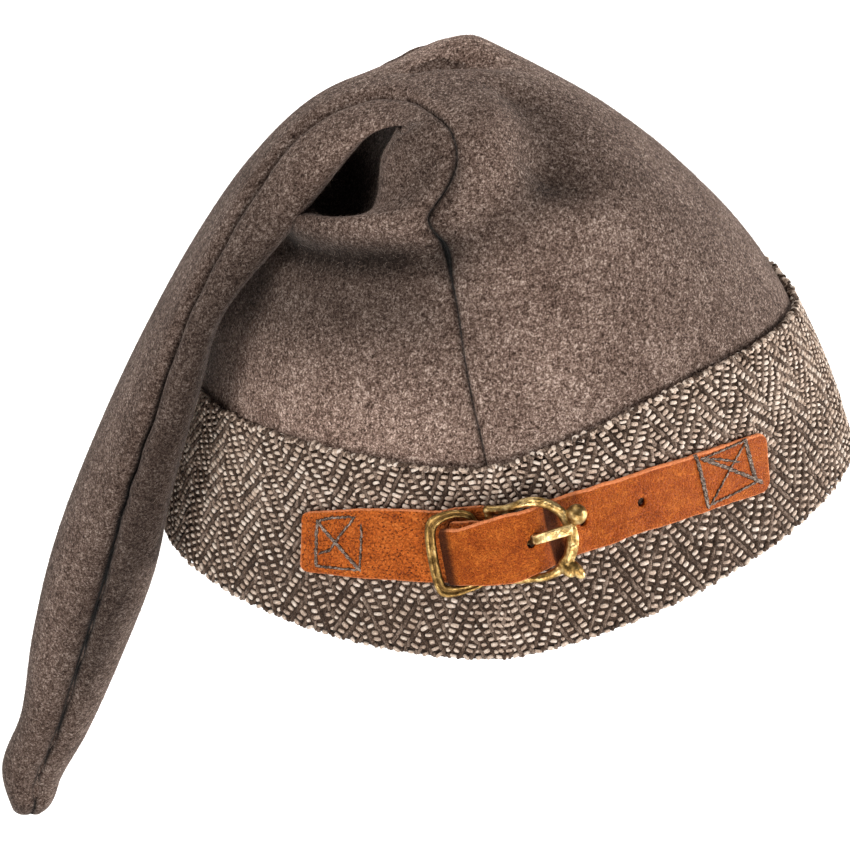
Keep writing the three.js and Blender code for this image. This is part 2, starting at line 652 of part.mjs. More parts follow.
// Cuts in the leather: the slot for the tongue's loop, the used hole, and the two open holes
const SLOT_LONG = 8;
const SLOT_DEEP = 7.2;
const slotCut = new THREE.BoxGeometry(SLOT_LONG, EYE_WIDTH + 2 * FIT_GAP, SLOT_DEEP);
slotCut.translate(BAR_A + 1, EYE_B, BUCKLE_HEIGHT - 0.1);
slotCut.applyMatrix4(buckleAxes);
const leftStrap = toSolid(leftStrip).subtract(toSolid(slotCut));

function punch(distance) {
  const frame = rightWay.frame(distance);
  const hole = new THREE.CylinderGeometry(PUNCHED_HOLE_RADIUS, PUNCHED_HOLE_RADIUS, 4 * LEATHER_THICK, 12);
  hole.rotateX(Math.PI / 2);
  hole.applyMatrix4(
    new THREE.Matrix4().makeBasis(frame.forward, frame.width, frame.normal).setPosition(frame.at),
  );
  return toSolid(hole);
}
const usedHole = wayTo(rightWay, inBuckle(8.4, 0.4, 6.4));
const pinClearance = toGeometry(tonguePin(FIT_GAP));
pinClearance.applyMatrix4(buckleAxes);
const rightStrap = toSolid(rightStrip)
  .subtract(toSolid(pinClearance))
  .subtract(punch(usedHole))
  .subtract(punch(usedHole + HOLE_PITCH))
  .subtract(punch(usedHole + 2 * HOLE_PITCH));

// Materials
const wool = new THREE.MeshStandardMaterial({ color: 0x7d7067, roughness: 0.95, metalness: 0 });
const tweed = new THREE.MeshStandardMaterial({ color: 0x97897b, roughness: 0.95, metalness: 0 });
const pebbledLeather = new THREE.MeshStandardMaterial({ color: 0xc46028, roughness: 0.6, metalness: 0 });
const smoothLeather = new THREE.MeshStandardMaterial({ color: 0xc85f23, roughness: 0.55, metalness: 0 });
const brass = new THREE.MeshStandardMaterial({ color: 0xa98b45, roughness: 0.35, metalness: 1 });

function named(name, geometry, material) {
  const mesh = new THREE.Mesh(geometry, material);
  mesh.name = name;
  geometry.computeVertexNormals();
  return mesh;
}

const cap = new THREE.Group();
cap.add(
  named("crown_back_panel", backPanel, wool),
  named("crown_front_panel", frontPanel, wool.clone()),
  named("band", band, tweed),
  named("strap_left", toGeometry(leftStrap), pebbledLeather),
  named("strap_right", toGeometry(rightStrap), smoothLeather),
);
const buckle = new THREE.Group();
buckle.applyMatrix4(buckleAxes);
buckle.add(
  named("buckle_frame", toGeometry(frameSolid), brass),
  named("keeper_loop", toGeometry(keeper), brass.clone()),
  named("buckle_tongue", toGeometry(tongue), brass.clone()),
);
cap.add(buckle);

export default cap;
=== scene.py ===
# %% [markdown]
# # A wool cap with a long tail
# The cap is sewn from two panels of thick felted wool that run on into one long hanging tail.
# A herringbone tweed band is turned up round the rim, and a leather strap with a brass buckle
# is stitched on its near side. The solids that carry the cap are loaded first. Everything made
# here lies on them, in the same place and at the same size, and only adds the finish.

import math

import bmesh
import bpy
import numpy as np
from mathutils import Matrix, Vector


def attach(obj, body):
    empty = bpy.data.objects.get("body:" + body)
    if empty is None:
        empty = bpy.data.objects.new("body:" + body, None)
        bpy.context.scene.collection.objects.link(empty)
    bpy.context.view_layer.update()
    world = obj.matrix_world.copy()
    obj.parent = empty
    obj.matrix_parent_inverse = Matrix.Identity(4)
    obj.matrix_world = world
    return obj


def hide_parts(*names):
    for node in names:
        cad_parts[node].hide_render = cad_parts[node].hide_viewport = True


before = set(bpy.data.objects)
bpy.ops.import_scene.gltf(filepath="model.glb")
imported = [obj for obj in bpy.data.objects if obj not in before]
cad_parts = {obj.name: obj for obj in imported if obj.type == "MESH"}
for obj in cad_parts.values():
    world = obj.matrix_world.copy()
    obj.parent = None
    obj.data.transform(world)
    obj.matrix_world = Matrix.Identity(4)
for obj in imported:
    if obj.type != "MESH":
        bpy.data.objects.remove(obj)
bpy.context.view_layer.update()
MM = 0.001
print("solids:", sorted(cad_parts))

# %% [markdown]
# ## The view
# A long lens at arm's length looks down on the near side by 30 degrees. The cap is held up as a
# head holds it, so the pale floor lies well below it and only sends soft light back up. The
# picture is shown without a film curve, so that colours given as a screen shows them stay so.
# The camera could be turned until the cap looks right, but worked out from the scale of the rim
# and its place in the picture it is right at once.

# %% Camera
PICTURE = 850
SENSOR = 36.0
VIEW_DISTANCE = 1100 * MM
VIEW_ELEVATION = math.radians(30)
RIM_SCALE = 3.4
RIM_PIXEL = (507, 477)
NEAREST = 50 * MM


def in_scene(name, data):
    """A new object that carries a mesh, a camera or a lamp."""
    made = bpy.data.objects.new(name, data)
    bpy.context.scene.collection.objects.link(made)
    return made


focal_pixels = RIM_SCALE * VIEW_DISTANCE / MM
lens = bpy.data.cameras.new("view")
lens.sensor_width = SENSOR
lens.lens = focal_pixels / PICTURE * SENSOR
lens.shift_x = (PICTURE / 2 - RIM_PIXEL[0]) / PICTURE
lens.shift_y = (RIM_PIXEL[1] - PICTURE / 2) / PICTURE
lens.clip_start = NEAREST
camera = in_scene("view", lens)
camera.location.y = -VIEW_DISTANCE * math.cos(VIEW_ELEVATION)
camera.location.z = VIEW_DISTANCE * math.sin(VIEW_ELEVATION)
camera.rotation_euler.x = math.pi / 2 - VIEW_ELEVATION
bpy.context.scene.camera = camera
bpy.context.scene.view_settings.view_transform = "Standard"
print("lens:", round(lens.lens, 1), "mm")

# %% [markdown]
# ## Shader maths in plain Python
# A material is a graph of nodes. Written node by node it is hard to read, so a small class wraps
# a socket and turns an expression such as `0.2 + 0.5 * mask` into Math nodes. Every other node
# comes from one method that takes its type, its settings and the values of its sockets.


# %% A material as an expression
class Wire:
    """An output socket that takes part in sums."""

    def __init__(self, finish, socket):
        self.finish = finish
        self.socket = socket

    def _math(self, operation, *values):
        return self.finish.node("ShaderNodeMath", {"operation": operation}, dict(enumerate(values)))

    def __add__(self, other):
        return self._math("ADD", self, other)

    def __radd__(self, other):
        return self._math("ADD", other, self)

    def __sub__(self, other):
        return self._math("SUBTRACT", self, other)

    def __rsub__(self, other):
        return self._math("SUBTRACT", other, self)

    def __mul__(self, other):
        return self._math("MULTIPLY", self, other)

    def __rmul__(self, other):
        return self._math("MULTIPLY", other, self)

    def clamped(self):
        return self.finish.node(
            "ShaderNodeMath", {"operation": "ADD", "use_clamp": True}, {0: self, 1: 0.0}
        )

    def between(self, low, high):
        """0 below low, 1 above high, with a soft step between."""
        return self.finish.node(
            "ShaderNodeMapRange",
            {"interpolation_type": "SMOOTHSTEP"},
            {"Value": self, "From Min": low, "From Max": high},
        )


# %% A material and its nodes
class Finish:
    """A material, and the one way to add nodes to it."""

    def __init__(self, name):
        self.material = bpy.data.materials.new(name)
        self.material.use_nodes = True
        self.tree = self.material.node_tree
        self.shader = self.tree.nodes["Principled BSDF"]

    def plug(self, inputs, values):
        for key, value in values.items():
            if isinstance(value, Wire):
                self.tree.links.new(value.socket, inputs[key])
            else:
                inputs[key].default_value = value

    def node(self, kind, settings=None, sockets=None, out=0):
        made = self.tree.nodes.new(kind)
        for key, value in (settings or {}).items():
            if key == "stops":
                ramp = made.color_ramp.elements
                while len(ramp) < len(value):
                    ramp.new(0.5)
                for stop, (place, colour) in zip(ramp, value):
                    stop.position = place
                    stop.color = colour
            else:
                setattr(made, key, value)
        self.plug(made.inputs, sockets or {})
        return Wire(self, made.outputs[out])

    def place(self):
        return self.node("ShaderNodeTexCoord", out="Object")

    def uv(self):
        return self.node("ShaderNodeTexCoord", out="UV")

    def attribute(self, name):
        return self.node("ShaderNodeAttribute", {"attribute_name": name}, out="Fac")

    def mapped(self, vector, scale=(1, 1, 1), turn=(0, 0, 0)):
        return self.node("ShaderNodeMapping", {}, {"Vector": vector, "Scale": scale, "Rotation": turn})

    def noise(self, vector, size_mm, detail=2.0, rough=0.5):
        sockets = {"Vector": vector, "Scale": 1 / (size_mm * MM), "Detail": detail, "Roughness": rough}
        return self.node("ShaderNodeTexNoise", {}, sockets)

    def cells(self, vector, size_mm, feature):
        sockets = {"Vector": vector, "Scale": 1 / (size_mm * MM)}
        return self.node("ShaderNodeTexVoronoi", {"feature": feature}, sockets)

    def scaled(self, vector, factor):
        return self.node("ShaderNodeVectorMath", {"operation": "SCALE"}, {0: vector, "Scale": factor})

    def swayed(self, vector, sway, reach_mm):
        """A place moved aside by a noise, so that a pattern read there looks less regular."""
        shift = self.scaled(sway, reach_mm * MM)
        return self.node("ShaderNodeVectorMath", {"operation": "ADD"}, {0: vector, 1: shift})

    def colour(self, *stops, by):
        return self.node("ShaderNodeValToRGB", {"stops": stops}, {"Fac": by})

    def mix(self, factor, first, second):
        return self.node("ShaderNodeMix", {"data_type": "RGBA"}, {0: factor, 6: first, 7: second}, out=2)

    def surface(self, colour, roughness, bump=None, depth_mm=0.2, **fixed):
        values = {"Base Color": colour, "Roughness": roughness}
        if bump is not None:
            values["Normal"] = self.node("ShaderNodeBump", {}, {"Height": bump, "Distance": depth_mm * MM})
        values |= {key.replace("_", " "): value for key, value in fixed.items()}
        self.plug(self.shader.inputs, values)
        return self.material


# %% Colours as a screen shows them
def srgb(red, green, blue):
    """A colour given as a screen shows it, turned into the linear numbers a shader wants."""
    values = [c / 255 for c in (red, green, blue)]
    linear = [c / 12.92 if c <= 0.04045 else ((c + 0.055) / 1.055) ** 2.4 for c in values]
    return (*linear, 1)


# %% [markdown]
# ## The shape of the cloth
# The crown and its tail are one long sleeve. It could be sculpted, but a short table of sections
# is easier to check: each row gives the two ends of the section's long axis, how deep it is
# towards the wearer's two sides, and where the side seams lie. A smooth curve runs through the
# rows, so any point of the cloth is worked out from two numbers: s, the way along from the rim,
# and u, the way once round.

# %% Sections and folds
SECTION_COLUMNS = [
    "s", "outerX", "outerZ", "innerX", "innerZ", "midY", "near", "far", "seam", "farSeam", "turn",
]
SECTIONS = [
    [0, 97.9, 9.4, -98.4, -13.8, 0, 93.8, 84.4, 0.5, 0.5, 0],
    [24, 90.4, 35.4, -94.8, 12.6, 0, 86.5, 78, 0.5, 0.5, 0],
    [50, 82.5, 55, -89.5, 36, 0, 78.5, 71.5, 0.485, 0.5, 0],
    [72, 71.9, 73, -83, 60, 0, 66, 62, 0.465, 0.49, 0],
    [92, 58.4, 89, -71, 84, -1, 55, 52, 0.445, 0.48, 0],
    [108, 41.9, 105.4, -61, 97, -3, 48, 45, 0.435, 0.47, 0],
    [120, 24.8, 118.7, -46, 103, -5, 43, 40, 0.385, 0.48, 0],
    [132, 2.9, 129.6, -33, 114, -5, 36, 37, 0.53, 0.5, 0],
    [146, -12.4, 130.8, -28.8, 124, -4, 29, 30.5, 0.71, 0.52, 3],
    [164, -29.5, 127.9, -35.3, 120.9, -3, 20.5, 21.5, 0.94, 0.53, 6],
    [186, -53.4, 120, -43.6, 110.6, -6, 17.5, 19, 0.97, 0.55, 8],
    [210, -72.2, 103.7, -59, 92.3, -12, 18.5, 21, 0.89, 0.56, 10],
    [236, -90.2, 77, -78.2, 70, -17, 20, 24, 0.755, 0.55, 14],
    [262, -106.3, 48, -86.9, 43, -20, 20, 20, 0.61, 0.52, 16],
    [290, -121.2, 16, -95.9, 11, -21, 17, 17, 0.527, 0.5, 12],
    [320, -132.7, -14, -102.6, -18, -20, 14.5, 15, 0.475, 0.48, 6],
    [350, -140.5, -44, -113.5, -48, -18, 12.5, 13, 0.455, 0.45, 3],
    [380, -146, -73, -126.1, -78, -17, 10.5, 11, 0.44, 0.44, 0],
    [402, -152.8, -92, -134.9, -95, -16, 8.5, 9, 0.38, 0.4, 0],
    [416, -151.4, -103, -139.2, -105.5, -16, 6.5, 7, 0.35, 0.36, 0],
    [421, -150.4, -107, -142.2, -108.4, -16, 4.5, 4.5, 0.35, 0.36, 0],
]

# %% Folds
# Each fold runs from one (s, u) to another. It fades over a length in s and one in u, and its
# last number is its height in mm.
FOLDS = {
    "pocket under the bend": (116, 0, 119, 0.05, 8, 0.07, -12),
    "cushion beside the pocket": (131, 0.1, 142, 0.12, 8, 0.05, 5),
    "lip below the pocket": (119, 0.22, 107, 0.09, 6, 0.035, 4),
    "valley below the lip": (104, 0.22, 98, 0.09, 4.5, 0.04, -3.5),
    "step beside the seam": (104, 0.27, 117, 0.27, 7, 0.02, -2.5),
    "dent of the front panel, low": (114, 0.31, 121, 0.38, 9, 0.045, -3.5),
    "dent of the front panel, high": (121, 0.39, 131, 0.47, 7, 0.03, -4),
    "far lip of the pocket": (117, 0.92, 117, 0.92, 12, 0.055, 10.5),
    "gutter behind the ridge": (138, 0.535, 158, 0.535, 6, 0.02, -2.5),
    "far hump of the ridge": (142, 0.61, 144, 0.61, 7, 0.045, 2.5),
}
CLOTH_FOOT = 3
TAIL_END = 421
TAIL_HOLLOW_END = 411
CROWN_WALL = 2.4
TAIL_WALL = 2.0
WALL_CHANGE = (122, 142)
SQUARENESS_RIM = 1.55
SQUARENESS_TAIL = 2.15
SQUARENESS_CHANGE = (10, 120)
CORE_FLATTENS = 0.25


# %% Curves through a table
def smooth(low, high, x):
    t = np.clip((np.asarray(x, float) - low) / (high - low), 0, 1)
    return t * t * (3 - 2 * t)


def through(keys, values, x):
    """Smooth curve through a table's rows, with slopes taken from the rows on both sides."""
    keys = np.asarray(keys, float)
    values = np.asarray(values, float)
    x = np.asarray(x, float)
    gaps = np.diff(keys)
    slopes = np.diff(values) / gaps
    inner = (slopes[:-1] * gaps[1:] + slopes[1:] * gaps[:-1]) / (gaps[:-1] + gaps[1:])
    tangents = np.concatenate([slopes[:1], inner, slopes[-1:]])
    i = np.clip(np.searchsorted(keys, x, side="right") - 1, 0, len(keys) - 2)
    h = gaps[i]
    t = (x - keys[i]) / h
    return (
        (2 * t**3 - 3 * t**2 + 1) * values[i]
        + (t**3 - 2 * t**2 + t) * h * tangents[i]
        + (3 * t**2 - 2 * t**3) * values[i + 1]
        + (t**3 - t**2) * h * tangents[i + 1]
    )


TABLE = dict(zip(SECTION_COLUMNS, np.array(SECTIONS, float).T))
print("sections:", len(SECTIONS), "and folds:", len(FOLDS))


def section(name, s):
    """One column of the table at s."""
    return through(TABLE["s"], TABLE[name], s)


def lerp(a, b, t):
    return a + (b - a) * t


# %% Points on the cloth
def plain_point(s, u, core=0.0):
    """The sleeve without its folds. core draws the point in to the section's middle line."""
    s, u = np.broadcast_arrays(np.asarray(s, float), np.asarray(u, float))
    turn_of_u = u - np.floor(u)
    near = turn_of_u <= 0.5
    half = np.where(near, turn_of_u, 1 - turn_of_u) / 0.5
    roundness = 2 / lerp(SQUARENESS_RIM, SQUARENESS_TAIL, smooth(*SQUARENESS_CHANGE, s))
    seam = np.arccos(1 - 2 * np.where(near, section("seam", s), section("farSeam", s)))
    angle = np.where(half < 0.5, seam * 2 * half, seam + (math.pi - seam) * (2 * half - 1))
    along = np.sign(np.cos(angle)) * np.abs(np.cos(angle)) ** roundness
    across = np.abs(np.sin(angle)) ** roundness
    share = 0.5 - 0.5 * along * (1 - core)
    depth = np.where(near, -section("near", s), section("far", s))
    side = depth * across * (1 - CORE_FLATTENS * core) + section("turn", s) * (share - 0.5)
    x = lerp(section("innerX", s), section("outerX", s), share)
    z = lerp(section("innerZ", s), section("outerZ", s), share)
    return np.stack([x, section("midY", s) + side, z], axis=-1)


def unit(vectors):
    return vectors / np.maximum(np.linalg.norm(vectors, axis=-1, keepdims=True), 1e-9)


def outward(point_at, s, u):
    """The normal of the face that point_at gives, pointing out of the cap."""
    step_s = 0.8
    step_u = 0.004
    along_s = point_at(np.minimum(TAIL_END, s + step_s), u) - point_at(np.maximum(0, s - step_s), u)
    along_u = point_at(s, u + step_u) - point_at(s, u - step_u)
    return unit(np.cross(along_u, along_s))


# %% The folded cloth and its lining
def fold_height(s, u, folds=FOLDS):
    """Height of all folds. Each fold's height fades with the distance to its line."""
    height = np.zeros(np.shape(s))
    for s0, u0, s1, u1, long_s, long_u, tall in folds.values():
        away_s = (s - s0) / long_s
        away_u = (u - u0 - np.round(u - (u0 + u1) / 2)) / long_u
        run_s = (s1 - s0) / long_s
        run_u = (u1 - u0) / long_u
        length = max(run_s**2 + run_u**2, 1e-9)
        share = np.clip((away_s * run_s + away_u * run_u) / length, 0, 1)
        height += tall * np.exp(-((away_s - share * run_s) ** 2) - (away_u - share * run_u) ** 2)
    return height


def cloth_point(s, u):
    """The cloth's outer face, with its folds."""
    s, u = np.broadcast_arrays(np.asarray(s, float), np.asarray(u, float))
    return plain_point(s, u) + outward(plain_point, s, u) * fold_height(s, u)[..., None]


def lining_point(s, u):
    """The cloth's inner face: along its normal in the crown, drawn to the middle in the flat tail."""
    outside = cloth_point(s, u)
    drawn_in = outside + unit(plain_point(s, u, 1.0) - outside) * TAIL_WALL
    set_in = outside - outward(cloth_point, s, u) * CROWN_WALL
    return lerp(set_in, drawn_in, smooth(*WALL_CHANGE, s)[..., None])


# %% A mesh from a grid
def make_object(name, points_mm, faces):
    """An object at the origin, with its place in its mesh."""
    mesh = bpy.data.meshes.new(name)
    mesh.from_pydata((np.asarray(points_mm) * MM).tolist(), [], [list(map(int, f)) for f in faces])
    mesh.polygons.foreach_set("use_smooth", [True] * len(mesh.polygons))
    return in_scene(name, mesh)


def face_out(made):
    """Turns a closed mesh's faces outwards."""
    work = bmesh.new()
    work.from_mesh(made.data)
    bmesh.ops.recalc_face_normals(work, faces=work.faces)
    if work.calc_volume(signed=True) < 0:
        bmesh.ops.reverse_faces(work, faces=work.faces)
    work.to_mesh(made.data)
    work.free()
    return made


def grid_faces(rows, columns, start=0, around=False):
    """Faces of a grid of points. Around closes each row of points into a ring."""
    faces = []
    last = columns if around else columns - 1
    for i in range(rows - 1):
        for j in range(last):
            a = start + i * columns + j
            b = start + i * columns + (j + 1) % columns
            faces.append((a, b, b + columns, a + columns))
    return faces


def fan_edge(outer, inner, step):
    """Closes the gap between a fine edge and a coarse one with step points for one."""
    faces = []
    for k in range(len(inner) - 1):
        for j in range(step):
            faces.append((outer[k * step + j], inner[k], outer[k * step + j + 1]))
        faces.append((inner[k], inner[k + 1], outer[(k + 1) * step]))
    return faces


# %% [markdown]
# ## The two wool panels
# Each panel is a thick felted cloth. Its edges roll over into the seam, so a groove, darkened by
# painted shade, runs down the side with a soft rounded edge on both of its sides. A thickness added
# by a modifier would repeat every fine column on the inside, where nobody looks. So the outer face
# is a fine grid whose columns crowd together beside the seam, and the lining is a coarser one.

# %% Panel shape
NEAR_SEAM_U, FAR_SEAM_U = 0.25, 0.75
SEAM_ROLL, SEAM_DEPTH = 4.6, 2.3
TAIL_SEAM_ROLL, TAIL_SEAM_DEPTH = 6, 4.4
# The seam's painted shade: how dark, its share in the crown, and its width in mm.
SEAM_PAINTED_SHADE, CROWN_SHADE_SHARE, SEAM_SHADE_WIDTH = 0.6, 0.6, 0.9
SEAM_PUCKER, PUCKER_LENGTH = 0.18, 2.3
PUCKER_SWAY, PUCKER_SWAY_LENGTH = 1.5, 9.1
SEAM_CLOSING, SEAM_CLOSES = 0.75, (TAIL_END - 18, TAIL_END - 3)
TAIL_START = (140, 185)
PANEL_COLUMNS, PANEL_ROWS = 34, 78
LINING_STEP = 4
LINING_NARROWER = 0.02
TIP_SEWN = 0.85
EDGE_STEPS = [0, 0.2, 0.5, 0.9, 1.4, 2.0, 2.8, 3.7, 4.8]
EDGE_SHARE = 0.1
U_STEP = 0.002

# %% Tones of the nap, and painted light and shade
# Each tone is a line on the cloth, written as a fold is. Its last number makes the cloth there
# lighter or darker: painted shade in the hollows, dents, creases, the pocket and the tail's side
# to the crown, a painted highlight on the ridge and the tail's outer side, and on the broad panels
# partly the way the nap is brushed and partly painted light and shade.
NAP_AND_SHADE_TONES = {
    "hollow below the lip": (104, 0.2, 99, 0.09, 6, 0.06, -0.75),
    "back of the bend": (130, 0.2, 146, 0.13, 12, 0.08, -0.5),
    "inside of the pocket": (116, -0.03, 118, 0.05, 9, 0.06, -0.8),
    "back panel, middle": (90, 0.2, 84, 0.08, 11, 0.08, -0.56),
    "dent, low": (109, 0.27, 118, 0.35, 6, 0.03, -0.42),
    "crease at the seam": (126, 0.258, 100, 0.248, 5, 0.013, -0.3),
    "dent, high": (119, 0.39, 131, 0.49, 8, 0.04, -0.42),
    "beside the dent": (117, 0.4, 111, 0.44, 7, 0.03, -0.15),
    "ridge": (138, 0.6, 154, 0.62, 14, 0.09, 0.6),
    "tail, side to the crown": (225, 0.13, 345, 0.2, 20, 0.09, -0.36),
    "tail, outer side": (240, 0.4, 350, 0.38, 20, 0.07, 0.2),
    "front panel, low": (92, 0.275, 78, 0.3, 16, 0.035, 0.22),
    "front panel, right": (95, 0.43, 60, 0.43, 22, 0.06, -0.22),
    "back panel, low": (58, 0.17, 48, 0.1, 14, 0.09, 0.5),
}
# The whole tail is darker: partly its nap, partly painted shade.
TAIL_NAP_AND_SHADE_TONE = 0.7
TAIL_TONE_START = (165, 215)
INSIDE_TONE = 0.8
NAP_START = (0.5, 3)


def nap_tone(s, u):
    """How light the cloth looks from place to place: partly the way its nap is brushed, partly painted
    light and shade.
    """
    return lerp(1, TAIL_NAP_AND_SHADE_TONE, smooth(*TAIL_TONE_START, s)) + fold_height(s, u, NAP_AND_SHADE_TONES)


# %% Rolled seams
def rounded(distance, reach, drop):
    """How far a face falls back at an edge that is rounded over the reach given."""
    near = np.clip(1 - distance / reach, 0, 1)
    return drop * (1 - np.sqrt(np.clip(1 - near**2, 0, 1)))


def seam_height(distance, s):
    """How far the cloth's face dips as it rolls into the seam. Its stitches pucker it a little."""
    in_tail = smooth(*TAIL_START, s)
    roll = lerp(SEAM_ROLL, TAIL_SEAM_ROLL, in_tail)
    deep = lerp(SEAM_DEPTH, TAIL_SEAM_DEPTH, in_tail)
    sway = PUCKER_SWAY * np.sin(s / PUCKER_SWAY_LENGTH)
    pucker = 1 + SEAM_PUCKER * np.sin(s / PUCKER_LENGTH + sway)
    closing = 1 - SEAM_CLOSING * smooth(*SEAM_CLOSES, s)
    return -rounded(distance, roll, deep) * pucker * closing


def painted_seam_shade(distance, s):
    """Painted shade along the seam's groove, darker in the tail."""
    strength = SEAM_PAINTED_SHADE * lerp(CROWN_SHADE_SHARE, 1, smooth(*TAIL_START, s))
    return strength * np.exp(-((distance / SEAM_SHADE_WIDTH) ** 2))


# %% The panel's grid
def seam_columns(s, u, next_u, span):
    """Millimetres of cloth to one unit of u at a seam, and the columns' distances from it in u."""
    cloth = np.linalg.norm(plain_point(s, next_u) - plain_point(s, u), axis=-1) / U_STEP
    room = np.minimum(1, EDGE_SHARE * span * cloth / EDGE_STEPS[-1])
    return cloth, np.array(EDGE_STEPS)[None, :] * room / cloth


def panel_grid(from_u, to_u):
    """The panel's points as s and u, and how far each is from the nearest seam."""
    s = np.linspace(CLOTH_FOOT, TAIL_END, PANEL_ROWS * LINING_STEP + 1)[:, None]
    span = to_u - from_u
    left_cloth, left_steps = seam_columns(s, from_u, from_u + U_STEP, span)
    right_cloth, right_steps = seam_columns(s, to_u - U_STEP, to_u, span)
    left = from_u + left_steps
    right = (to_u - right_steps)[:, ::-1]
    middle = PANEL_COLUMNS * LINING_STEP + 1 - 2 * len(EDGE_STEPS)
    share = np.linspace(0, 1, middle + 2)[None, 1:-1]
    u = np.concatenate([left, lerp(left[:, -1:], right[:, :1], share), right], axis=1)
    distance = np.minimum((u - from_u) * left_cloth, (to_u - u) * right_cloth)
    return np.broadcast_to(s, u.shape), u, distance


# %% A wall's faces
def coarse(values):
    """The rows and columns of a fine grid that its lining keeps."""
    return values[::LINING_STEP, ::LINING_STEP]


def wall_faces(fine_shape, coarse_shape):
    """The face, the lining, and the four edges that join them into one closed wall."""
    start = math.prod(fine_shape)
    outer = np.arange(start).reshape(fine_shape)
    inner = start + np.arange(math.prod(coarse_shape)).reshape(coarse_shape)
    faces = grid_faces(*fine_shape)
    faces += [f[::-1] for f in grid_faces(*coarse_shape, start)]
    faces += fan_edge(outer[0], inner[0], LINING_STEP)
    faces += [f[::-1] for f in fan_edge(outer[-1], inner[-1], LINING_STEP)]
    faces += [f[::-1] for f in fan_edge(outer[:, 0], inner[:, 0], LINING_STEP)]
    faces += fan_edge(outer[:, -1], inner[:, -1], LINING_STEP)
    return faces


# %% Numbers that a finish reads
def add_values(made, name, values):
    """A number or a vector for each point, which a material or a node tree reads by name."""
    values = np.asarray(values, float)
    kind, field = ("FLOAT_VECTOR", "vector") if values.ndim == 2 else ("FLOAT", "value")
    layer = made.data.attributes.new(name, kind, "POINT")
    layer.data.foreach_set(field, values.ravel())


def add_uv(made, flat):
    """A UV map in metres of cloth, one pair for each point."""
    layer = made.data.uv_layers.new(name="cloth")
    corners = np.empty(len(made.data.loops), dtype=np.int32)
    made.data.loops.foreach_get("vertex_index", corners)
    layer.data.foreach_set("uv", flat[corners].ravel())


# %% A panel
def panel(name, from_u, to_u):
    """A closed wall of cloth from seam to seam, with its UV map and its nap."""
    s, u, distance = panel_grid(from_u, to_u)
    dip = outward(cloth_point, s, u) * seam_height(distance, s)[..., None]
    face = cloth_point(s, u) + dip
    tip = lerp(face[-1, :1], face[-1, -1:], np.linspace(0, 1, u.shape[1])[:, None])
    face[-1] = lerp(face[-1], tip, TIP_SEWN)
    hollow_s = CLOTH_FOOT + (s - CLOTH_FOOT) * TAIL_HOLLOW_END / TAIL_END
    inside_u = lerp(u, (from_u + to_u) / 2, LINING_NARROWER)
    lining = lining_point(coarse(hollow_s), coarse(inside_u)) + coarse(dip)
    points = np.concatenate([face.reshape(-1, 3), lining.reshape(-1, 3)])
    made = face_out(make_object(name, points, wall_faces(u.shape, lining.shape[:2])))
    steps = np.linalg.norm(np.diff(face, axis=1), axis=-1)
    around = np.cumsum(np.pad(steps, ((0, 0), (1, 0))), axis=1)
    flat = np.stack([around - around[:, -1:] / 2, s], axis=-1) * MM
    add_uv(made, np.concatenate([flat.reshape(-1, 2), coarse(flat).reshape(-1, 2)]))
    inside = np.zeros(lining.shape[0] * lining.shape[1])
    nap = smooth(*NAP_START, distance)
    add_values(made, "nap", np.concatenate([nap.ravel(), inside]))
    # Painted shade along the seam is taken off the tone, which holds painted light and shade too.
    tone = nap_tone(s, u) - painted_seam_shade(distance, s)
    add_values(made, "nap_tone", np.concatenate([tone.ravel(), inside + INSIDE_TONE]))
    print(name, len(made.data.polygons), "faces")
    return made


# %% [markdown]
# ## Melton wool
# Felted wool has no visible threads. What shows is a short nap of light and dark fibres lying in
# every direction, a heather of taupe tones, and soft shade in the hollows of the nap. Hairs
# enough to cover the cloth would be far too many. Fibres are made from noise stretched in three
# directions instead, so they look like crossing hairs, and a swirl keeps them from lying straight.

# %% Wool finish
FIBRES = [((0.3, 0.2, 0.9), 0.32), ((1.2, 0.6, 0.1), 0.38), ((0.4, 1.4, 2.2), 0.35)]
FIBRE_STRETCH = 0.34


def wool_finish():
    wool = Finish("melton wool")
    place = wool.place()
    place = wool.swayed(place, wool.noise(place, 1.6, detail=1.0), 0.8)
    fibres = []
    for turn, size in FIBRES:
        along = wool.mapped(place, scale=(1, FIBRE_STRETCH, 1), turn=turn)
        fibres.append(wool.noise(along, size, detail=2.0, rough=0.6))
    nap = (fibres[0] + fibres[1] + fibres[2]) * (1 / 3)
    heather = wool.noise(place, 0.7, detail=2.0, rough=0.6)
    mottle = wool.noise(place, 1.9, detail=2.5, rough=0.6)
    cloud = wool.noise(place, 15, detail=2.0)
    tone = (nap - 0.5) * 2.8 + (heather - 0.5) * 1.8 + (mottle - 0.5) * 0.9 + (cloud - 0.5) * 0.4 + 0.5
    tint = wool.colour(
        (0.0, srgb(48, 36, 31)),
        (0.3, srgb(86, 69, 61)),
        (0.55, srgb(119, 100, 91)),
        (0.8, srgb(154, 135, 125)),
        (1.0, srgb(196, 179, 169)),
        by=tone.clamped(),
    )
    # Scaled by the tone, which holds the nap's brushing and painted light and shade.
    tint = wool.scaled(tint, wool.attribute("nap_tone"))
    lumps = nap * 0.7 + heather * 0.7
    sheen = {"Sheen_Weight": 0.1, "Sheen_Roughness": 0.4}
    return wool.surface(tint, 0.95, bump=lumps, depth_mm=0.5, Specular_IOR_Level=0.12, **sheen)


wool = wool_finish()
back_panel = panel("crown_back_cloth", FAR_SEAM_U - 1, NEAR_SEAM_U)
front_panel = panel("crown_front_cloth", NEAR_SEAM_U, FAR_SEAM_U)
for piece, node in ((back_panel, "crown_back_panel"), (front_panel, "crown_front_panel")):
    piece.data.materials.append(wool)
    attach(piece, "root")
    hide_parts(node)

# %% [markdown]
# ## The tweed band
# The band is a woven herringbone. Dark warp threads stand upright and cream weft threads cross
# them, over two and under two, one step further in each row. The step changes side every eight
# threads, and that draws the zigzag. A bump in a material could draw it too, but the threads
# stand proud and show along the band's edge. So the cloth below is a dark hoop, and each thread
# that shows on top is a small bean of yarn, placed by Geometry Nodes on a grid of points.

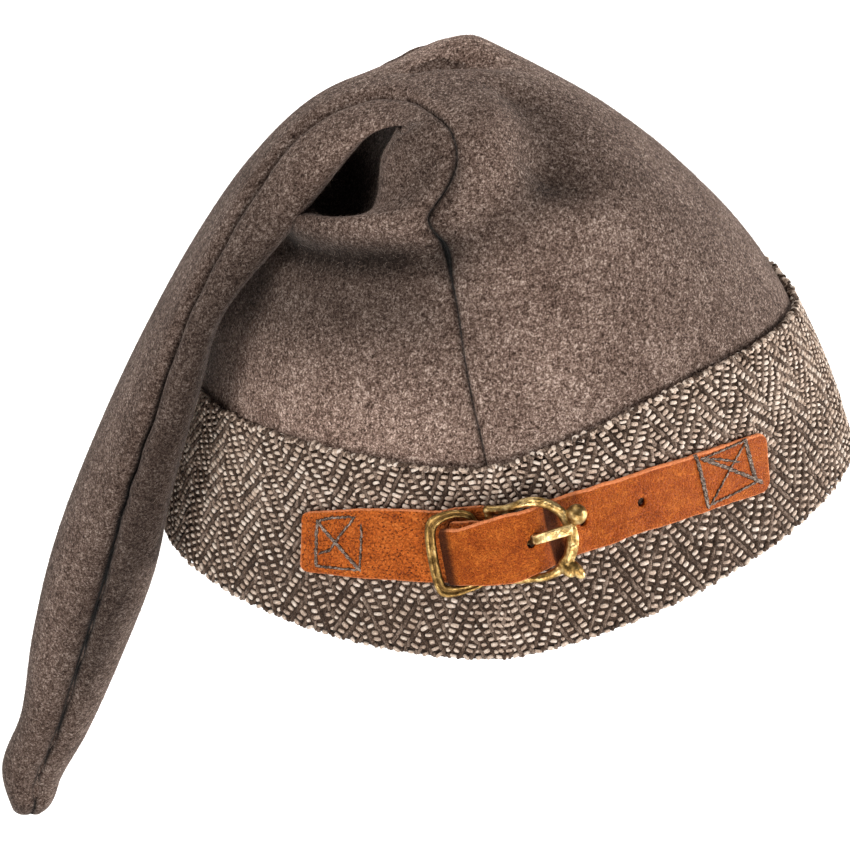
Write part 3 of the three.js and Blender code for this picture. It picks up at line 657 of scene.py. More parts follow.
# %% Band shape
BAND_GAP = 0.4
BAND_THICK_FOOT, BAND_THICK_TOP, BAND_THINS = 3.4, 1.7, (0, 50)
BAND_INNER_GAP = 0.05
HALF_STEP_U = 0.0005
BAND_TOP = [(0, 49), (0.3, 54), (0.5, 52), (0.75, 60), (1, 52.5)]
BAND_COLUMNS, BAND_ROWS = 360, 26
FOOT_ROUND, FOOT_DROP = 2.0, 1.3
TOP_ROUND, TOP_DROP = 1.5, 1.0
FLOAT_PROUD = 0.45


def band_top(u):
    """How far up the cloth the band reaches, once round the rim."""
    turn = np.asarray(u, float) - np.floor(u)
    share = 2 * np.minimum(turn, 1 - turn)
    keys, tops = zip(*BAND_TOP)
    return through(keys, tops, share)


def band_thickness(s):
    """The folded tweed is thickest at its foot."""
    return lerp(BAND_THICK_FOOT, BAND_THICK_TOP, smooth(*BAND_THINS, s))


def on_band(s, u, lift=0.0):
    """A point on the band's outer face, lift above it, and the face's normal there."""
    normal = outward(cloth_point, s, u)
    height = BAND_GAP + band_thickness(s) + lift
    return cloth_point(s, u) + normal * np.asarray(height)[..., None], normal


def band_ways(s, u, normals):
    """The directions round the rim and up the band at points on it."""
    round_way = unit(on_band(s, u + HALF_STEP_U)[0] - on_band(s, u - HALF_STEP_U)[0])
    return round_way, np.cross(normals, round_way)


# %% The hoop below the threads
def band_body(name):
    """The dark cloth under the threads: one closed hoop with rounded edges."""
    u = np.linspace(0, 1, BAND_COLUMNS, endpoint=False)[:, None]
    s = np.linspace(0, 1, BAND_ROWS)[None, :] * band_top(u)
    drop = rounded(s, FOOT_ROUND, FOOT_DROP) + rounded(band_top(u) - s, TOP_ROUND, TOP_DROP)
    u = np.broadcast_to(u, s.shape)
    outside, _ = on_band(s, u, -FLOAT_PROUD - drop)
    inside, _ = on_band(s, u, BAND_INNER_GAP - band_thickness(s))
    loop = np.concatenate([outside, inside[:, ::-1]], axis=1)
    across = loop.shape[1]
    faces = []
    for i in range(BAND_COLUMNS):
        after = (i + 1) % BAND_COLUMNS
        for j in range(across):
            k = (j + 1) % across
            faces.append((i * across + j, after * across + j, after * across + k, i * across + k))
    made = face_out(make_object(name, loop.reshape(-1, 3), faces))
    outside_rows = np.arange(across) < BAND_ROWS
    add_values(made, "nap", np.tile(outside_rows, BAND_COLUMNS))
    print(name, len(faces), "faces")
    return made


# %% [markdown]
# ## Yarn
# The cream and the dark yarn are loosely spun wool: soft, matt, and uneven in tone along each
# thread. A separate colour for every thread could be painted. One noise in two finishes is
# enough here, because each bean also carries a tone of its own, drawn once where it is laid.

# %% Yarn finish
def yarn_finish(name, dark, middle, light, fuzz_mm):
    yarn = Finish(name)
    where = yarn.place()
    tone = yarn.attribute("tone")
    strands = yarn.noise(where, fuzz_mm, detail=3.0, rough=0.65)
    value = (tone - 0.5) * 0.6 + (strands - 0.5) * 2.0 + 0.5
    tint = yarn.colour((0.0, dark), (0.5, middle), (1.0, light), by=value.clamped())
    return yarn.surface(tint, 0.9, bump=strands, depth_mm=0.22, Sheen_Weight=0.05, Specular_IOR_Level=0.15)


cream_yarn = yarn_finish("cream yarn", srgb(164, 140, 123), srgb(222, 203, 187), srgb(250, 240, 230), 0.5)
dark_yarn = yarn_finish("dark yarn", srgb(42, 31, 25), srgb(92, 75, 64), srgb(164, 146, 133), 0.4)


# %% [markdown]
# ## Nodes that lay yarn and hairs
# Thousands of threads could be copied by a loop in Python, but Geometry Nodes do it faster and
# read each point's own numbers. A small class adds the nodes. One tree lays a bean of yarn on
# every point, turned along its thread, and another scatters stray hairs over a cloth.

# %% A node tree with named inputs
def group_input(tree, name, kind, value):
    socket = tree.interface.new_socket(name=name, in_out="INPUT", socket_type=kind)
    if value is not None:
        socket.default_value = value


class Recipe:
    """A geometry node tree with named inputs, and the one way to add nodes to it."""

    def __init__(self, name, **inputs):
        self.tree = bpy.data.node_groups.new(name, "GeometryNodeTree")
        self.tree.interface.new_socket(name="Geometry", in_out="OUTPUT", socket_type="NodeSocketGeometry")
        group_input(self.tree, "Geometry", "NodeSocketGeometry", None)
        for key, value in inputs.items():
            kind = "Int" if isinstance(value, int) else "Float"
            group_input(self.tree, key, "NodeSocket" + kind, value)
        group_input(self.tree, "Material", "NodeSocketMaterial", None)
        self.start = self.tree.nodes.new("NodeGroupInput").outputs

    def add(self, kind, settings=None, out=0, **sockets):
        """A node. Its input sockets go by their names, or by i0, i1 and so on for their places."""
        made = self.tree.nodes.new(kind)
        for key, value in (settings or {}).items():
            setattr(made, key, value)
        for key, value in sockets.items():
            key = key.replace("_", " ")
            target = made.inputs[int(key[1:])] if key[0] == "i" and key[1:].isdigit() else made.inputs[key]
            if isinstance(value, bpy.types.NodeSocket):
                self.tree.links.new(value, target)
            else:
                target.default_value = value
        return made.outputs[out]

    def sum(self, operation, first, second=0.0):
        return self.add("ShaderNodeMath", {"operation": operation}, i0=first, i1=second)

    def named(self, name, kind="FLOAT"):
        return self.add("GeometryNodeInputNamedAttribute", {"data_type": kind}, Name=name)

    def chance(self, low=0.0, high=1.0, step=0):
        seed = self.sum("ADD", self.start["Seed"], step)
        return self.add(
            "FunctionNodeRandomValue", {"data_type": "FLOAT"}, out=1, i2=low, i3=high, Seed=seed
        )

    def finish(self, laid):
        """Gives each copy its own tone, makes the copies real and ends the tree."""
        toned = self.add(
            "GeometryNodeStoreNamedAttribute",
            {"data_type": "FLOAT", "domain": "INSTANCE"},
            Geometry=laid,
            Name="tone",
            Value=self.chance(step=5),
        )
        real = self.add("GeometryNodeRealizeInstances", Geometry=toned)
        done = self.add("GeometryNodeSetMaterial", Geometry=real, Material=self.start["Material"])
        self.tree.links.new(done, self.tree.nodes.new("NodeGroupOutput").inputs[0])
        return self.tree


# %% A bean of yarn on each point
def yarn_tree():
    """A boxy bean of yarn on each point, arched over the threads that it crosses."""
    sizes = {"Width": 0.001, "Height": 0.001, "Arch": 0.2, "Boxiness": 2.0, "Unevenness": 0.1}
    lay = Recipe("lay yarn", **sizes, Sides=6, Seed=1)
    start = lay.start
    bean = lay.add("GeometryNodeMeshUVSphere", Segments=start["Sides"], Rings=4, Radius=0.5)
    lying = lay.add("GeometryNodeTransform", Geometry=bean, Rotation=(0, math.pi / 2, 0))
    place = lay.add("GeometryNodeInputPosition")
    along = lay.add("ShaderNodeSeparateXYZ", Vector=place)
    from_middle = lay.sum("ABSOLUTE", along)
    to_end = lay.sum("SUBTRACT", 1.0, lay.sum("MULTIPLY", from_middle, 2.0))
    swell = lay.sum("MULTIPLY", lay.sum("MULTIPLY", from_middle, to_end), start["Boxiness"])
    grown = lay.add(
        "ShaderNodeVectorMath", {"operation": "SCALE"}, i0=place, Scale=lay.sum("ADD", swell, 1.0)
    )
    boxy = lay.add("GeometryNodeSetPosition", Geometry=lying, Position=grown)
    square = lay.sum("MULTIPLY", along, along)
    drop = lay.sum("MULTIPLY", lay.sum("MULTIPLY", square, -4.0), start["Arch"])
    bend = lay.add("ShaderNodeCombineXYZ", Z=drop)
    arched = lay.add("GeometryNodeSetPosition", Geometry=boxy, Offset=bend)
    soft = lay.add("GeometryNodeSetShadeSmooth", Geometry=arched)
    upright = lay.add(
        "FunctionNodeAlignRotationToVector", {"axis": "Z"}, Vector=lay.named("normal_way", "FLOAT_VECTOR")
    )
    turned = lay.add(
        "FunctionNodeAlignRotationToVector",
        {"axis": "X", "pivot_axis": "Z"},
        Rotation=upright,
        Vector=lay.named("thread_way", "FLOAT_VECTOR"),
    )
    low = lay.sum("SUBTRACT", 1.0, start["Unevenness"])
    high = lay.sum("ADD", 1.0, start["Unevenness"])
    width = lay.sum("MULTIPLY", start["Width"], lay.chance(low, high))
    size = lay.add("ShaderNodeCombineXYZ", X=lay.named("thread_length"), Y=width, Z=start["Height"])
    laid = lay.add(
        "GeometryNodeInstanceOnPoints", Points=start["Geometry"], Instance=soft, Rotation=turned, Scale=size
    )
    return lay.finish(laid)


# %% Hairs scattered over a cloth
def hair_tree():
    """Stray hairs: thin closed spikes, scattered where the cloth's own nap value allows."""
    lay = Recipe("stray hairs", Density=1.0, Length=0.001, Width=0.0001, Lean=1.2, Seed=1)
    start = lay.start
    dense = lay.sum("MULTIPLY", start["Density"], lay.named("nap"))
    scatter = {"Mesh": start["Geometry"], "Density": dense, "Seed": start["Seed"]}
    points = lay.add("GeometryNodeDistributePointsOnFaces", {"distribute_method": "RANDOM"}, **scatter)
    out = points.node.outputs["Rotation"]
    spin = lay.add("ShaderNodeCombineXYZ", Z=lay.chance(0.0, 2 * math.pi))
    spun = lay.add("FunctionNodeRotateRotation", {"rotation_space": "LOCAL"}, i0=out, i1=spin)
    least = lay.sum("MULTIPLY", start["Lean"], 0.65)
    lean = lay.add("ShaderNodeCombineXYZ", X=lay.chance(least, start["Lean"], 1))
    leaning = lay.add("FunctionNodeRotateRotation", {"rotation_space": "LOCAL"}, i0=spun, i1=lean)
    spike = lay.add("GeometryNodeMeshCone", Vertices=3, Radius_Top=0.0, Radius_Bottom=0.5, Depth=1.0)
    tall = lay.sum("MULTIPLY", start["Length"], lay.chance(0.5, 1.3, 2))
    size = lay.add("ShaderNodeCombineXYZ", X=start["Width"], Y=start["Width"], Z=tall)
    laid = lay.add(
        "GeometryNodeInstanceOnPoints", Points=points, Instance=spike, Rotation=leaning, Scale=size
    )
    return lay.finish(laid)


# %% A tree's result as a plain mesh
def settled(made):
    """The mesh that an object's modifiers make of it."""
    ready = made.evaluated_get(bpy.context.evaluated_depsgraph_get())
    return bpy.data.meshes.new_from_object(ready)


def run_nodes(name, source, tree, inputs, keep_source=False):
    """Runs a node tree on an object and keeps the result as a plain mesh."""
    modifier = source.modifiers.new("nodes", "NODES")
    modifier.node_group = tree
    for socket in tree.interface.items_tree:
        if socket.item_type == "SOCKET" and socket.in_out == "INPUT" and socket.name in inputs:
            modifier[socket.identifier] = inputs[socket.name]
    mesh = settled(source)
    source.modifiers.remove(modifier)
    if not keep_source:
        bpy.data.objects.remove(source)
    mesh.name = name
    print(name, len(mesh.polygons), "faces")
    return in_scene(name, mesh)


# %% The weave, thread by thread
WARPS = 560
WARPS_IN_BLOCK = 8
ROW_PITCH = 1.55
OVER = 2
CYCLE = 4
CREAM_WIDTH, CREAM_SIDES = 1.14, 6
DARK_WIDTH, DARK_SIDES = 1.15, 5
BOXINESS = 2.1
THREAD_UNEVENNESS = 0.2
FLOAT_SLANT = 0.3
FLOAT_REACH = 0.86
DARK_LEAN = 0.4
RIM_ROUND = 600
TOP_MARGIN = 0.2
THREAD_HEIGHT, THREAD_ARCH = 1.25, 0.15
FLOAT_OVERLAP = 0.25
FLOAT_RISE, RISE_SPREAD = 0.2, 0.08
PLACE_SPREAD, U_IN_ONE_MM = 0.1, 0.0018
WAY_SPREAD, LENGTH_SPREAD = 0.18, 0.15
print("warps:", WARPS, "in blocks", round(RIM_ROUND / WARPS * WARPS_IN_BLOCK, 1), "mm wide")


def weft_on_top(warp, row):
    """Over two and under two, with the step reversed, and cut, in every other block."""
    block, inside = divmod(warp, WARPS_IN_BLOCK)
    step = inside if block % 2 == 0 else WARPS_IN_BLOCK - 1 + OVER - inside
    return (step + row) % CYCLE < OVER


def block_side(warp):
    """The side to which this block's threads lean."""
    return 1 if (warp // WARPS_IN_BLOCK) % 2 == 0 else -1


def runs(on_top, longest):
    """Start and length of each stretch on top, cut where it would be longer than the longest."""
    start = 0
    while start < len(on_top):
        run = 0
        while run < longest and start + run < len(on_top) and on_top[start + run]:
            run += 1
        if run:
            yield start, run
        start += max(run, 1)


def floats():
    """Each stretch of thread on top: its height, its place round the rim, its length and its slant."""
    rows = int(max(top for _, top in BAND_TOP) / ROW_PITCH) + 1
    top_at = band_top(np.arange(WARPS) / WARPS)
    weft_up = np.array([[weft_on_top(warp, row) for warp in range(WARPS)] for row in range(rows)])
    cream, dark = [], []
    for row in range(rows):
        height = (row + 0.5) * ROW_PITCH
        for warp, run in runs(weft_up[row], OVER):
            if height < top_at[warp] + TOP_MARGIN:
                cream.append((height, warp + run / 2, run, block_side(warp) * FLOAT_SLANT))
    for warp in range(WARPS):
        for row, run in runs(~weft_up[:, warp], rows):
            height = (row + run / 2) * ROW_PITCH
            if height < top_at[warp] - TOP_MARGIN:
                dark.append((height, warp + 0.5, run, -block_side(warp) * DARK_LEAN))
    return np.array(cream), np.array(dark)


# %% Threads laid on the band
def lay_threads(name, places, normals, ways, lengths, width, material, seed, **shape):
    """Beans of yarn at the places given, as one plain mesh."""
    cloud = make_object(name + "_points", places, [])
    add_values(cloud, "normal_way", normals)
    add_values(cloud, "thread_way", ways)
    add_values(cloud, "thread_length", lengths * MM)
    height, arch = shape.get("height", THREAD_HEIGHT), shape.get("arch", THREAD_ARCH)
    sizes = {"Width": width * MM, "Height": height * MM, "Arch": arch, "Boxiness": BOXINESS}
    sizes |= {"Sides": CREAM_SIDES if material is cream_yarn else DARK_SIDES}
    sizes |= {"Unevenness": THREAD_UNEVENNESS, "Seed": seed, "Material": material}
    return run_nodes(name, cloud, lay_yarn, sizes)


def lay_floats(name, rows, along_rim, width, material, seed):
    """One kind of thread on the band, each stretch a little out of line and out of length."""
    draw = np.random.default_rng(seed)
    s = rows[:, 0] + draw.normal(0, PLACE_SPREAD, len(rows))
    u = rows[:, 1] / WARPS + draw.normal(0, PLACE_SPREAD, len(rows)) * U_IN_ONE_MM
    lift = FLOAT_RISE + draw.normal(0, RISE_SPREAD, len(rows))
    places, normals = on_band(s, u, -FLOAT_PROUD + lift)
    round_way, up = band_ways(s, u, normals)
    ways, aside = (round_way, up) if along_rim else (up, round_way)
    ways = unit(ways + aside * rows[:, 3:4] + draw.normal(0, WAY_SPREAD, ways.shape))
    pitch = RIM_ROUND / WARPS if along_rim else ROW_PITCH
    lengths = rows[:, 2] * pitch * FLOAT_REACH + FLOAT_OVERLAP
    lengths = lengths * draw.normal(1, LENGTH_SPREAD, len(rows))
    return lay_threads(name, places, normals, ways, lengths, width, material, seed)


# %% Yarn over the band's upper edge
EDGE_LOOPS = 420
EDGE_CREAM_WIDTH, EDGE_DARK_WIDTH = 1.35, 1.1
EDGE_ARCH = 0.35
EDGE_PLACE, EDGE_SPREAD, EDGE_LEAN = 0.25, 0.25, 0.9
EDGE_LIFTS = (-1.2, -0.1)
EDGE_LENGTHS = (1.4, 2.6)


def edge_loops(name, count, width, material, seed):
    """Yarn that turns over the band's upper edge, a little out of line."""
    draw = np.random.default_rng(seed)
    u = (np.arange(count) + draw.uniform(-0.4, 0.4, count)) / count
    lift = draw.uniform(*EDGE_LIFTS, count)
    s = band_top(u) + EDGE_PLACE + draw.normal(0, EDGE_SPREAD, count)
    places, normals = on_band(s, u, lift)
    round_way, up = band_ways(s, u, normals)
    ways = unit(round_way * draw.normal(0, EDGE_LEAN, (count, 1)) + normals)
    lengths = draw.uniform(*EDGE_LENGTHS, count)
    return lay_threads(name, places, up, ways, lengths, width, material, seed, arch=EDGE_ARCH)


# %% The band's pieces
lay_yarn = yarn_tree()
cream_rows, dark_rows = floats()
print("floats:", len(cream_rows), "cream and", len(dark_rows), "dark")
band_cloth = band_body("band_cloth")
band_cloth.data.materials.append(dark_yarn)
weft = lay_floats("band_weft", cream_rows, True, CREAM_WIDTH, cream_yarn, 11)
warp = lay_floats("band_warp", dark_rows, False, DARK_WIDTH, dark_yarn, 12)
cream_edge = edge_loops("band_edge_cream", EDGE_LOOPS, EDGE_CREAM_WIDTH, cream_yarn, 13)
dark_edge = edge_loops("band_edge_dark", 2 * EDGE_LOOPS, EDGE_DARK_WIDTH, dark_yarn, 14)
for piece in (band_cloth, weft, warp, cream_edge, dark_edge):
    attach(piece, "root")
    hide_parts("band")

# %% [markdown]
# ## Stray hairs
# Felted wool is never quite smooth: single hairs stand out of it, and they show along every
# edge of the cap. Hair curves could make them, but the finished model is all meshes, so each hair
# is a thin closed spike. The nodes scatter them over the outer face of the panels and lean each one
# over, most of them nearly flat, in a direction of its own. The tweed gets fewer and longer ones,
# which blur the dark threads between the cream ones.

# %% Hairs on the panels and the band
HAIRS_PER_SQUARE_METRE = 430000
BAND_HAIRS_PER_SQUARE_METRE = 380000
BAND_HAIR_LENGTH = 2.6
HAIR_LENGTH = 1.5
HAIR_WIDTH = 0.06
HAIR_LEAN = 1.5
HAIR_SEED = 31


def hair_finish():
    hair = Finish("wool hair")
    tone = hair.attribute("tone")
    tint = hair.colour(
        (0.0, srgb(66, 52, 44)), (0.5, srgb(124, 106, 96)), (1.0, srgb(190, 174, 163)), by=tone
    )
    return hair.surface(tint, 0.9, Specular_IOR_Level=0.15)


wool_hair = hair_finish()
lay_hairs = hair_tree()
for number, (cloth, slot, dense, long) in enumerate((
    (back_panel, "wool", HAIRS_PER_SQUARE_METRE, HAIR_LENGTH),
    (front_panel, "wool", HAIRS_PER_SQUARE_METRE, HAIR_LENGTH),
    (band_cloth, "tweed", BAND_HAIRS_PER_SQUARE_METRE, BAND_HAIR_LENGTH),
)):
    sizes = {"Density": dense, "Length": long * MM, "Width": HAIR_WIDTH * MM}
    sizes |= {"Lean": HAIR_LEAN, "Seed": HAIR_SEED + number, "Material": wool_hair}
    hairs = run_nodes(cloth.name.replace("cloth", "hairs"), cloth, lay_hairs, sizes, keep_source=True)
    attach(hairs, "root")

# %% [markdown]
# ## The leather straps
# Each strap is a strip that follows a way over the band and through the buckle. A bevelled curve
# is the quick way to make one, but it can't dip under the ring or carry a cut edge. So the way is
# a curve through a few points, and the strip's section is a flat loop with rounded edges, carried
# along the way. Leather keeps its thickness in a bend, so the section is only turned.

# %% The buckle's axes
LEATHER_THICK = 1.6
STRAP_GAP = 0.45
STRAP_REST = LEATHER_THICK / 2 + STRAP_GAP
STRAP_LIFT = 1.15
STRAP_TURN = 2.3
TURN_SLANT = STRAP_TURN * math.sqrt(0.5)
BUCKLE_HEIGHT = 4.1
BAR_A = -1.8

BUCKLE_PLACE = (29.5, 0.255)
BUCKLE_ALONG, BUCKLE_OUT = (0.984, 0, 0.177), (-0.052, -0.956, 0.29)

buckle_foot = on_band(*BUCKLE_PLACE)[0]
ALONG = unit(np.array(BUCKLE_ALONG))
OUT = unit(BUCKLE_OUT - ALONG * (BUCKLE_OUT @ ALONG))
ACROSS = np.cross(OUT, ALONG)


def in_buckle(a, b, h):
    """A point in the buckle's axes: a along the strap, b up, h out from the band."""
    a, b, h = np.broadcast_arrays(np.asarray(a, float), b, h)
    return buckle_foot + a[..., None] * ALONG + b[..., None] * ACROSS + h[..., None] * OUT


# %% The straps' ways
# A row is on the band, with s, u and the lift above it, or in the buckle's axes.
LEFT_WAY_ROWS = [
    ("band", 22.9, 0.139, STRAP_LIFT),
    ("band", 24.6, 0.15, STRAP_LIFT),
    ("band", 26, 0.162, STRAP_LIFT),
    ("band", 28.2, 0.183, STRAP_LIFT),
    ("band", 29, 0.2, STRAP_LIFT),
    ("band", 29.2, 0.214, STRAP_LIFT),
    ("buckle", -9, 1.7, 0.75),
    ("buckle", -5.2, 1.6, 1.3),
    ("buckle", BAR_A, 1, BUCKLE_HEIGHT - STRAP_TURN),
    ("buckle", BAR_A + TURN_SLANT, 1, BUCKLE_HEIGHT - TURN_SLANT),
    ("buckle", BAR_A + STRAP_TURN, 1, BUCKLE_HEIGHT),
    ("buckle", BAR_A + TURN_SLANT, 1, BUCKLE_HEIGHT + TURN_SLANT),
    ("buckle", BAR_A, 1, BUCKLE_HEIGHT + STRAP_TURN),
    ("buckle", -4.6, 0.95, 6.25),
    ("buckle", -8, 0.9, 5.85),
    ("buckle", -10.3, 0.85, 4.4),
    ("buckle", -12.4, 0.8, 2.9),
]
RIGHT_WAY_ROWS = [
    ("buckle", -15.6, -0.6, 2.9),
    ("buckle", -12.6, -0.55, 5.4),
    ("buckle", -9.6, -0.45, 7.3),
    ("buckle", -6.5, -0.3, 8.3),
    ("buckle", BAR_A, -0.1, 8.55),
    ("buckle", 3, 0, 7.9),
    ("buckle", 6.6, 0.15, 6.9),
    ("buckle", 9.4, 0.3, 5.9),
    ("buckle", 11.3, 0.45, 4.5),
    ("buckle", 12.4, 0.65, 2.3),
    ("buckle", 13.5, 0.85, 0.4),
    ("buckle", 15.6, 1.1, -1),
    ("buckle", 19.2, 1.5, -2.6),
    ("band", 31.2, 0.307, 1.3),
    ("band", 30.9, 0.332, STRAP_LIFT),
    ("band", 29.2, 0.352, STRAP_LIFT),
    ("band", 26.7, 0.374, STRAP_LIFT),
    ("band", 24, 0.391, STRAP_LIFT),
    ("band", 22.5, 0.4005, STRAP_LIFT),
]


# %% A smooth curve
def spline(points, t):
    """Centripetal Catmull-Rom curve through the points, at t from 0 to 1."""
    points = np.asarray(points, float)
    before = 2 * points[0] - points[1]
    after = 2 * points[-1] - points[-2]
    padded = np.vstack([before, points, after])
    place = np.clip(t, 0, 1) * (len(points) - 1)
    i = np.minimum(place.astype(int), len(points) - 2)
    w = (place - i)[:, None]
    p0, p1, p2, p3 = (padded[i + k] for k in range(4))
    d0, d1, d2 = (
        np.maximum(np.linalg.norm(b - a, axis=1, keepdims=True), 1e-8) ** 0.5
        for a, b in ((p0, p1), (p1, p2), (p2, p3))
    )
    m1 = ((p1 - p0) / d0 - (p2 - p0) / (d0 + d1) + (p2 - p1) / d1) * d1
    m2 = ((p2 - p1) / d1 - (p3 - p1) / (d1 + d2) + (p3 - p2) / d2) * d1
    return p1 + m1 * w + (3 * (p2 - p1) - 2 * m1 - m2) * w**2 + (2 * (p1 - p2) + m1 + m2) * w**3


# %% Distances along a strap
WAY_SAMPLES = 4001
NEAREST_SAMPLES = 1200
HALF_STEP_T = 2e-4


class Way:
    """A strap's way, by distance along it."""

    def __init__(self, rows):
        points, normals = [], []
        for kind, *numbers in rows:
            if kind == "band":
                at, normal = on_band(*numbers)
            else:
                at, normal = in_buckle(*numbers), None
            points.append(at)
            normals.append(normal)
        sides = []
        for i, normal in enumerate(normals):
            if normal is None:
                sides.append(ACROSS)
            else:
                ahead = points[min(i + 1, len(points) - 1)] - points[max(i - 1, 0)]
                sides.append(unit(np.cross(normal, ahead)))
        self.points, self.sides = np.array(points), np.array(sides)
        self.t = np.linspace(0, 1, WAY_SAMPLES)
        curve = spline(self.points, self.t)
        steps = np.linalg.norm(np.diff(curve, axis=0), axis=1)
        self.way = np.concatenate([[0], np.cumsum(steps)])
        self.length = self.way[-1]

    def frame(self, distance):
        """Places on the way, with the directions ahead, across the strap and out of it."""
        t = np.interp(distance, self.way, self.t)
        at = spline(self.points, t)
        forward = unit(spline(self.points, t + HALF_STEP_T) - spline(self.points, t - HALF_STEP_T))
        width = spline(self.sides, t)
        width = unit(width - forward * np.sum(width * forward, axis=1, keepdims=True))
        return at, forward, width, np.cross(forward, width)

    def nearest(self, point):
        """How far along the way it comes nearest to a point."""
        distances = np.linspace(0, self.length, NEAREST_SAMPLES)
        return distances[np.argmin(np.linalg.norm(self.frame(distances)[0] - point, axis=1))]


# %% Clear of the band
UNDER_STRAPS_S, UNDER_STRAPS_U = np.linspace(4, 48, 45), np.linspace(0.11, 0.43, 321)
POINTS_AT_ONCE = 500

under_straps = on_band(*np.meshgrid(UNDER_STRAPS_S, UNDER_STRAPS_U, indexing="ij"))
band_places, band_normals = (a.reshape(-1, 3) for a in under_straps)


def clear_of_band(points, need):
    """Pushes points out until they lie need above the band."""
    flat = points.reshape(-1, 3)
    moved = []
    for start in range(0, len(flat), POINTS_AT_ONCE):
        some = flat[start : start + POINTS_AT_ONCE]
        near = np.argmin(((some[:, None] - band_places[None]) ** 2).sum(-1), axis=1)
        normal = band_normals[near]
        height = ((some - band_places[near]) * normal).sum(-1, keepdims=True)
        moved.append(some + normal * np.maximum(0, need - height))
    return np.concatenate(moved).reshape(points.shape)


# %% A strip of leather
STRIP_STEP = 0.5
ACROSS_STEPS = 24
END_STEPS = [0, 0.12, 0.3, 0.55, 0.9, 1.4]
EDGE_ROUND = 0.08
EDGE_THINNING = 0.75
END_MARGIN, END_CUT = 2, 0.8
UPPER_EDGE_TONE = 1.3
CUT_UNEVENNESS, CUT_WINDOW = 0.25, 9
CREASE_WAVES, CREASE_LENGTHS, CREASE_TURN = 9, (2.5, 9), 1.2


def plain(distance, share):
    """No dip and no skew."""
    return np.zeros(np.broadcast(distance, share).shape)


def creases(distance, across, seed, deep):
    """Shallow waves that cross each other, as in leather that has been worn."""
    draw = np.random.default_rng(seed)
    height = 0
    for _ in range(CREASE_WAVES):
        long = draw.uniform(*CREASE_LENGTHS)
        turn = draw.uniform(-CREASE_TURN, CREASE_TURN)
        wave = (distance * math.cos(turn) + across * math.sin(turn)) / long + draw.uniform(0, 6)
        height = height + np.sin(wave + 1.5 * np.sin(across / 3 + draw.uniform(0, 6)))
    return deep * height / CREASE_WAVES


# %% A strap
class Strap:
    """A strap: its way, its half width at each distance, how it dips and how its ends are cut."""

    dip = skew = staticmethod(plain)
    light_edge = 0.45
    hidden_end = 0.0

    def __init__(self, way, half_width, rubbed, seed, **shape):
        self.way, self.half_width, self.rubbed, self.seed = way, half_width, rubbed, seed
        vars(self).update(shape)

    def middle(self, distance, share, half):
        """The middle of the leather's thickness, its width direction and its normal."""
        shape = np.broadcast(distance, share).shape
        frames = self.way.frame((distance + self.skew(distance, share)).ravel())
        at, _, width, normal = (v.reshape(*shape, 3) for v in frames)
        at = at + width * (share * half)[..., None] + OUT * self.dip(distance, share)[..., None]
        return clear_of_band(at, STRAP_REST), width, normal

    def top(self, distance, across, lift=0.0):
        """Points on the leather's outer face, across mm above its middle line, and the normals."""
        half = self.half_width(distance)
        at, _, normal = self.middle(distance, across / half, half)
        worn = creases(distance, across, self.seed, self.deep)
        return at + normal * (LEATHER_THICK / 2 + worn + lift)[..., None], normal


# %% A strap's mesh
def strip(name, strap):
    """A closed strip with rounded edges and corners, its two faces and a slightly uneven cut."""
    way = strap.way
    draw = np.random.default_rng(strap.seed)
    inside = np.arange(END_MARGIN, way.length - END_MARGIN, STRIP_STEP)
    ends = np.array(END_STEPS)
    distance = np.concatenate([ends, inside, way.length - ends[::-1]])[:, None]
    count = len(distance)
    share = np.sin(np.linspace(-math.pi / 2, math.pi / 2, ACROSS_STEPS + 1))[None, :]
    noise = draw.normal(0, 1, count + CUT_WINDOW - 1)
    rough = np.convolve(noise, np.ones(CUT_WINDOW) / CUT_WINDOW, "valid")[:, None]
    corner = np.where(distance < way.length / 2, *strap.corners)
    to_end = np.minimum(distance, way.length - distance)
    from_end = np.minimum(to_end, corner)
    cut_away = corner - np.sqrt(corner**2 - (corner - from_end) ** 2)
    half = strap.half_width(distance) + CUT_UNEVENNESS * rough - cut_away
    middle, _, normal = strap.middle(distance, share, half)
    edge = np.minimum(1 - np.abs(share), EDGE_ROUND) / EDGE_ROUND
    fade = np.minimum(1, from_end / corner) * edge
    thick = LEATHER_THICK / 2 * np.sqrt(1 - (1 - edge) ** 2 * EDGE_THINNING)
    worn = creases(distance, share * half, strap.seed, strap.deep) * fade
    top = middle + normal * (thick + worn)[..., None]
    bottom = middle - normal * thick[..., None]
    loops = np.concatenate([top, bottom[:, ::-1]], axis=1)
    around = loops.shape[1]
    faces = grid_faces(count, around, around=True)
    for i in (0, count - 1):
        for j in range(ACROSS_STEPS):
            a = i * around + j
            b = i * around + around - 1 - j
            faces.append((a, a + 1, b - 1, b))
    made = face_out(make_object(name, loops.reshape(-1, 3), faces))
    across = np.concatenate([share * half, (share * half)[:, ::-1]], axis=1)
    along = np.broadcast_to(distance, across.shape)
    add_uv(made, np.stack([along, across], axis=-1).reshape(-1, 2) * MM)
    rim = np.concatenate([edge, edge[:, ::-1]], axis=1) * np.ones((count, 1))
    end_rim = np.maximum(np.clip(to_end / END_CUT, 0, 1), distance < way.length * strap.hidden_end)
    upper = UPPER_EDGE_TONE * smooth(strap.light_edge, 0.1, half - across)
    light = np.maximum(1 - np.minimum(rim, end_rim), upper)
    add_values(made, "cut", np.clip(light, 0, 1).ravel())
    # Painted shade where the buckle shades the strap.
    add_values(made, "rubbed", np.broadcast_to(strap.rubbed(distance), across.shape).ravel())
    print(name, len(faces), "faces, length", round(float(way.length), 1), "mm")
    return made


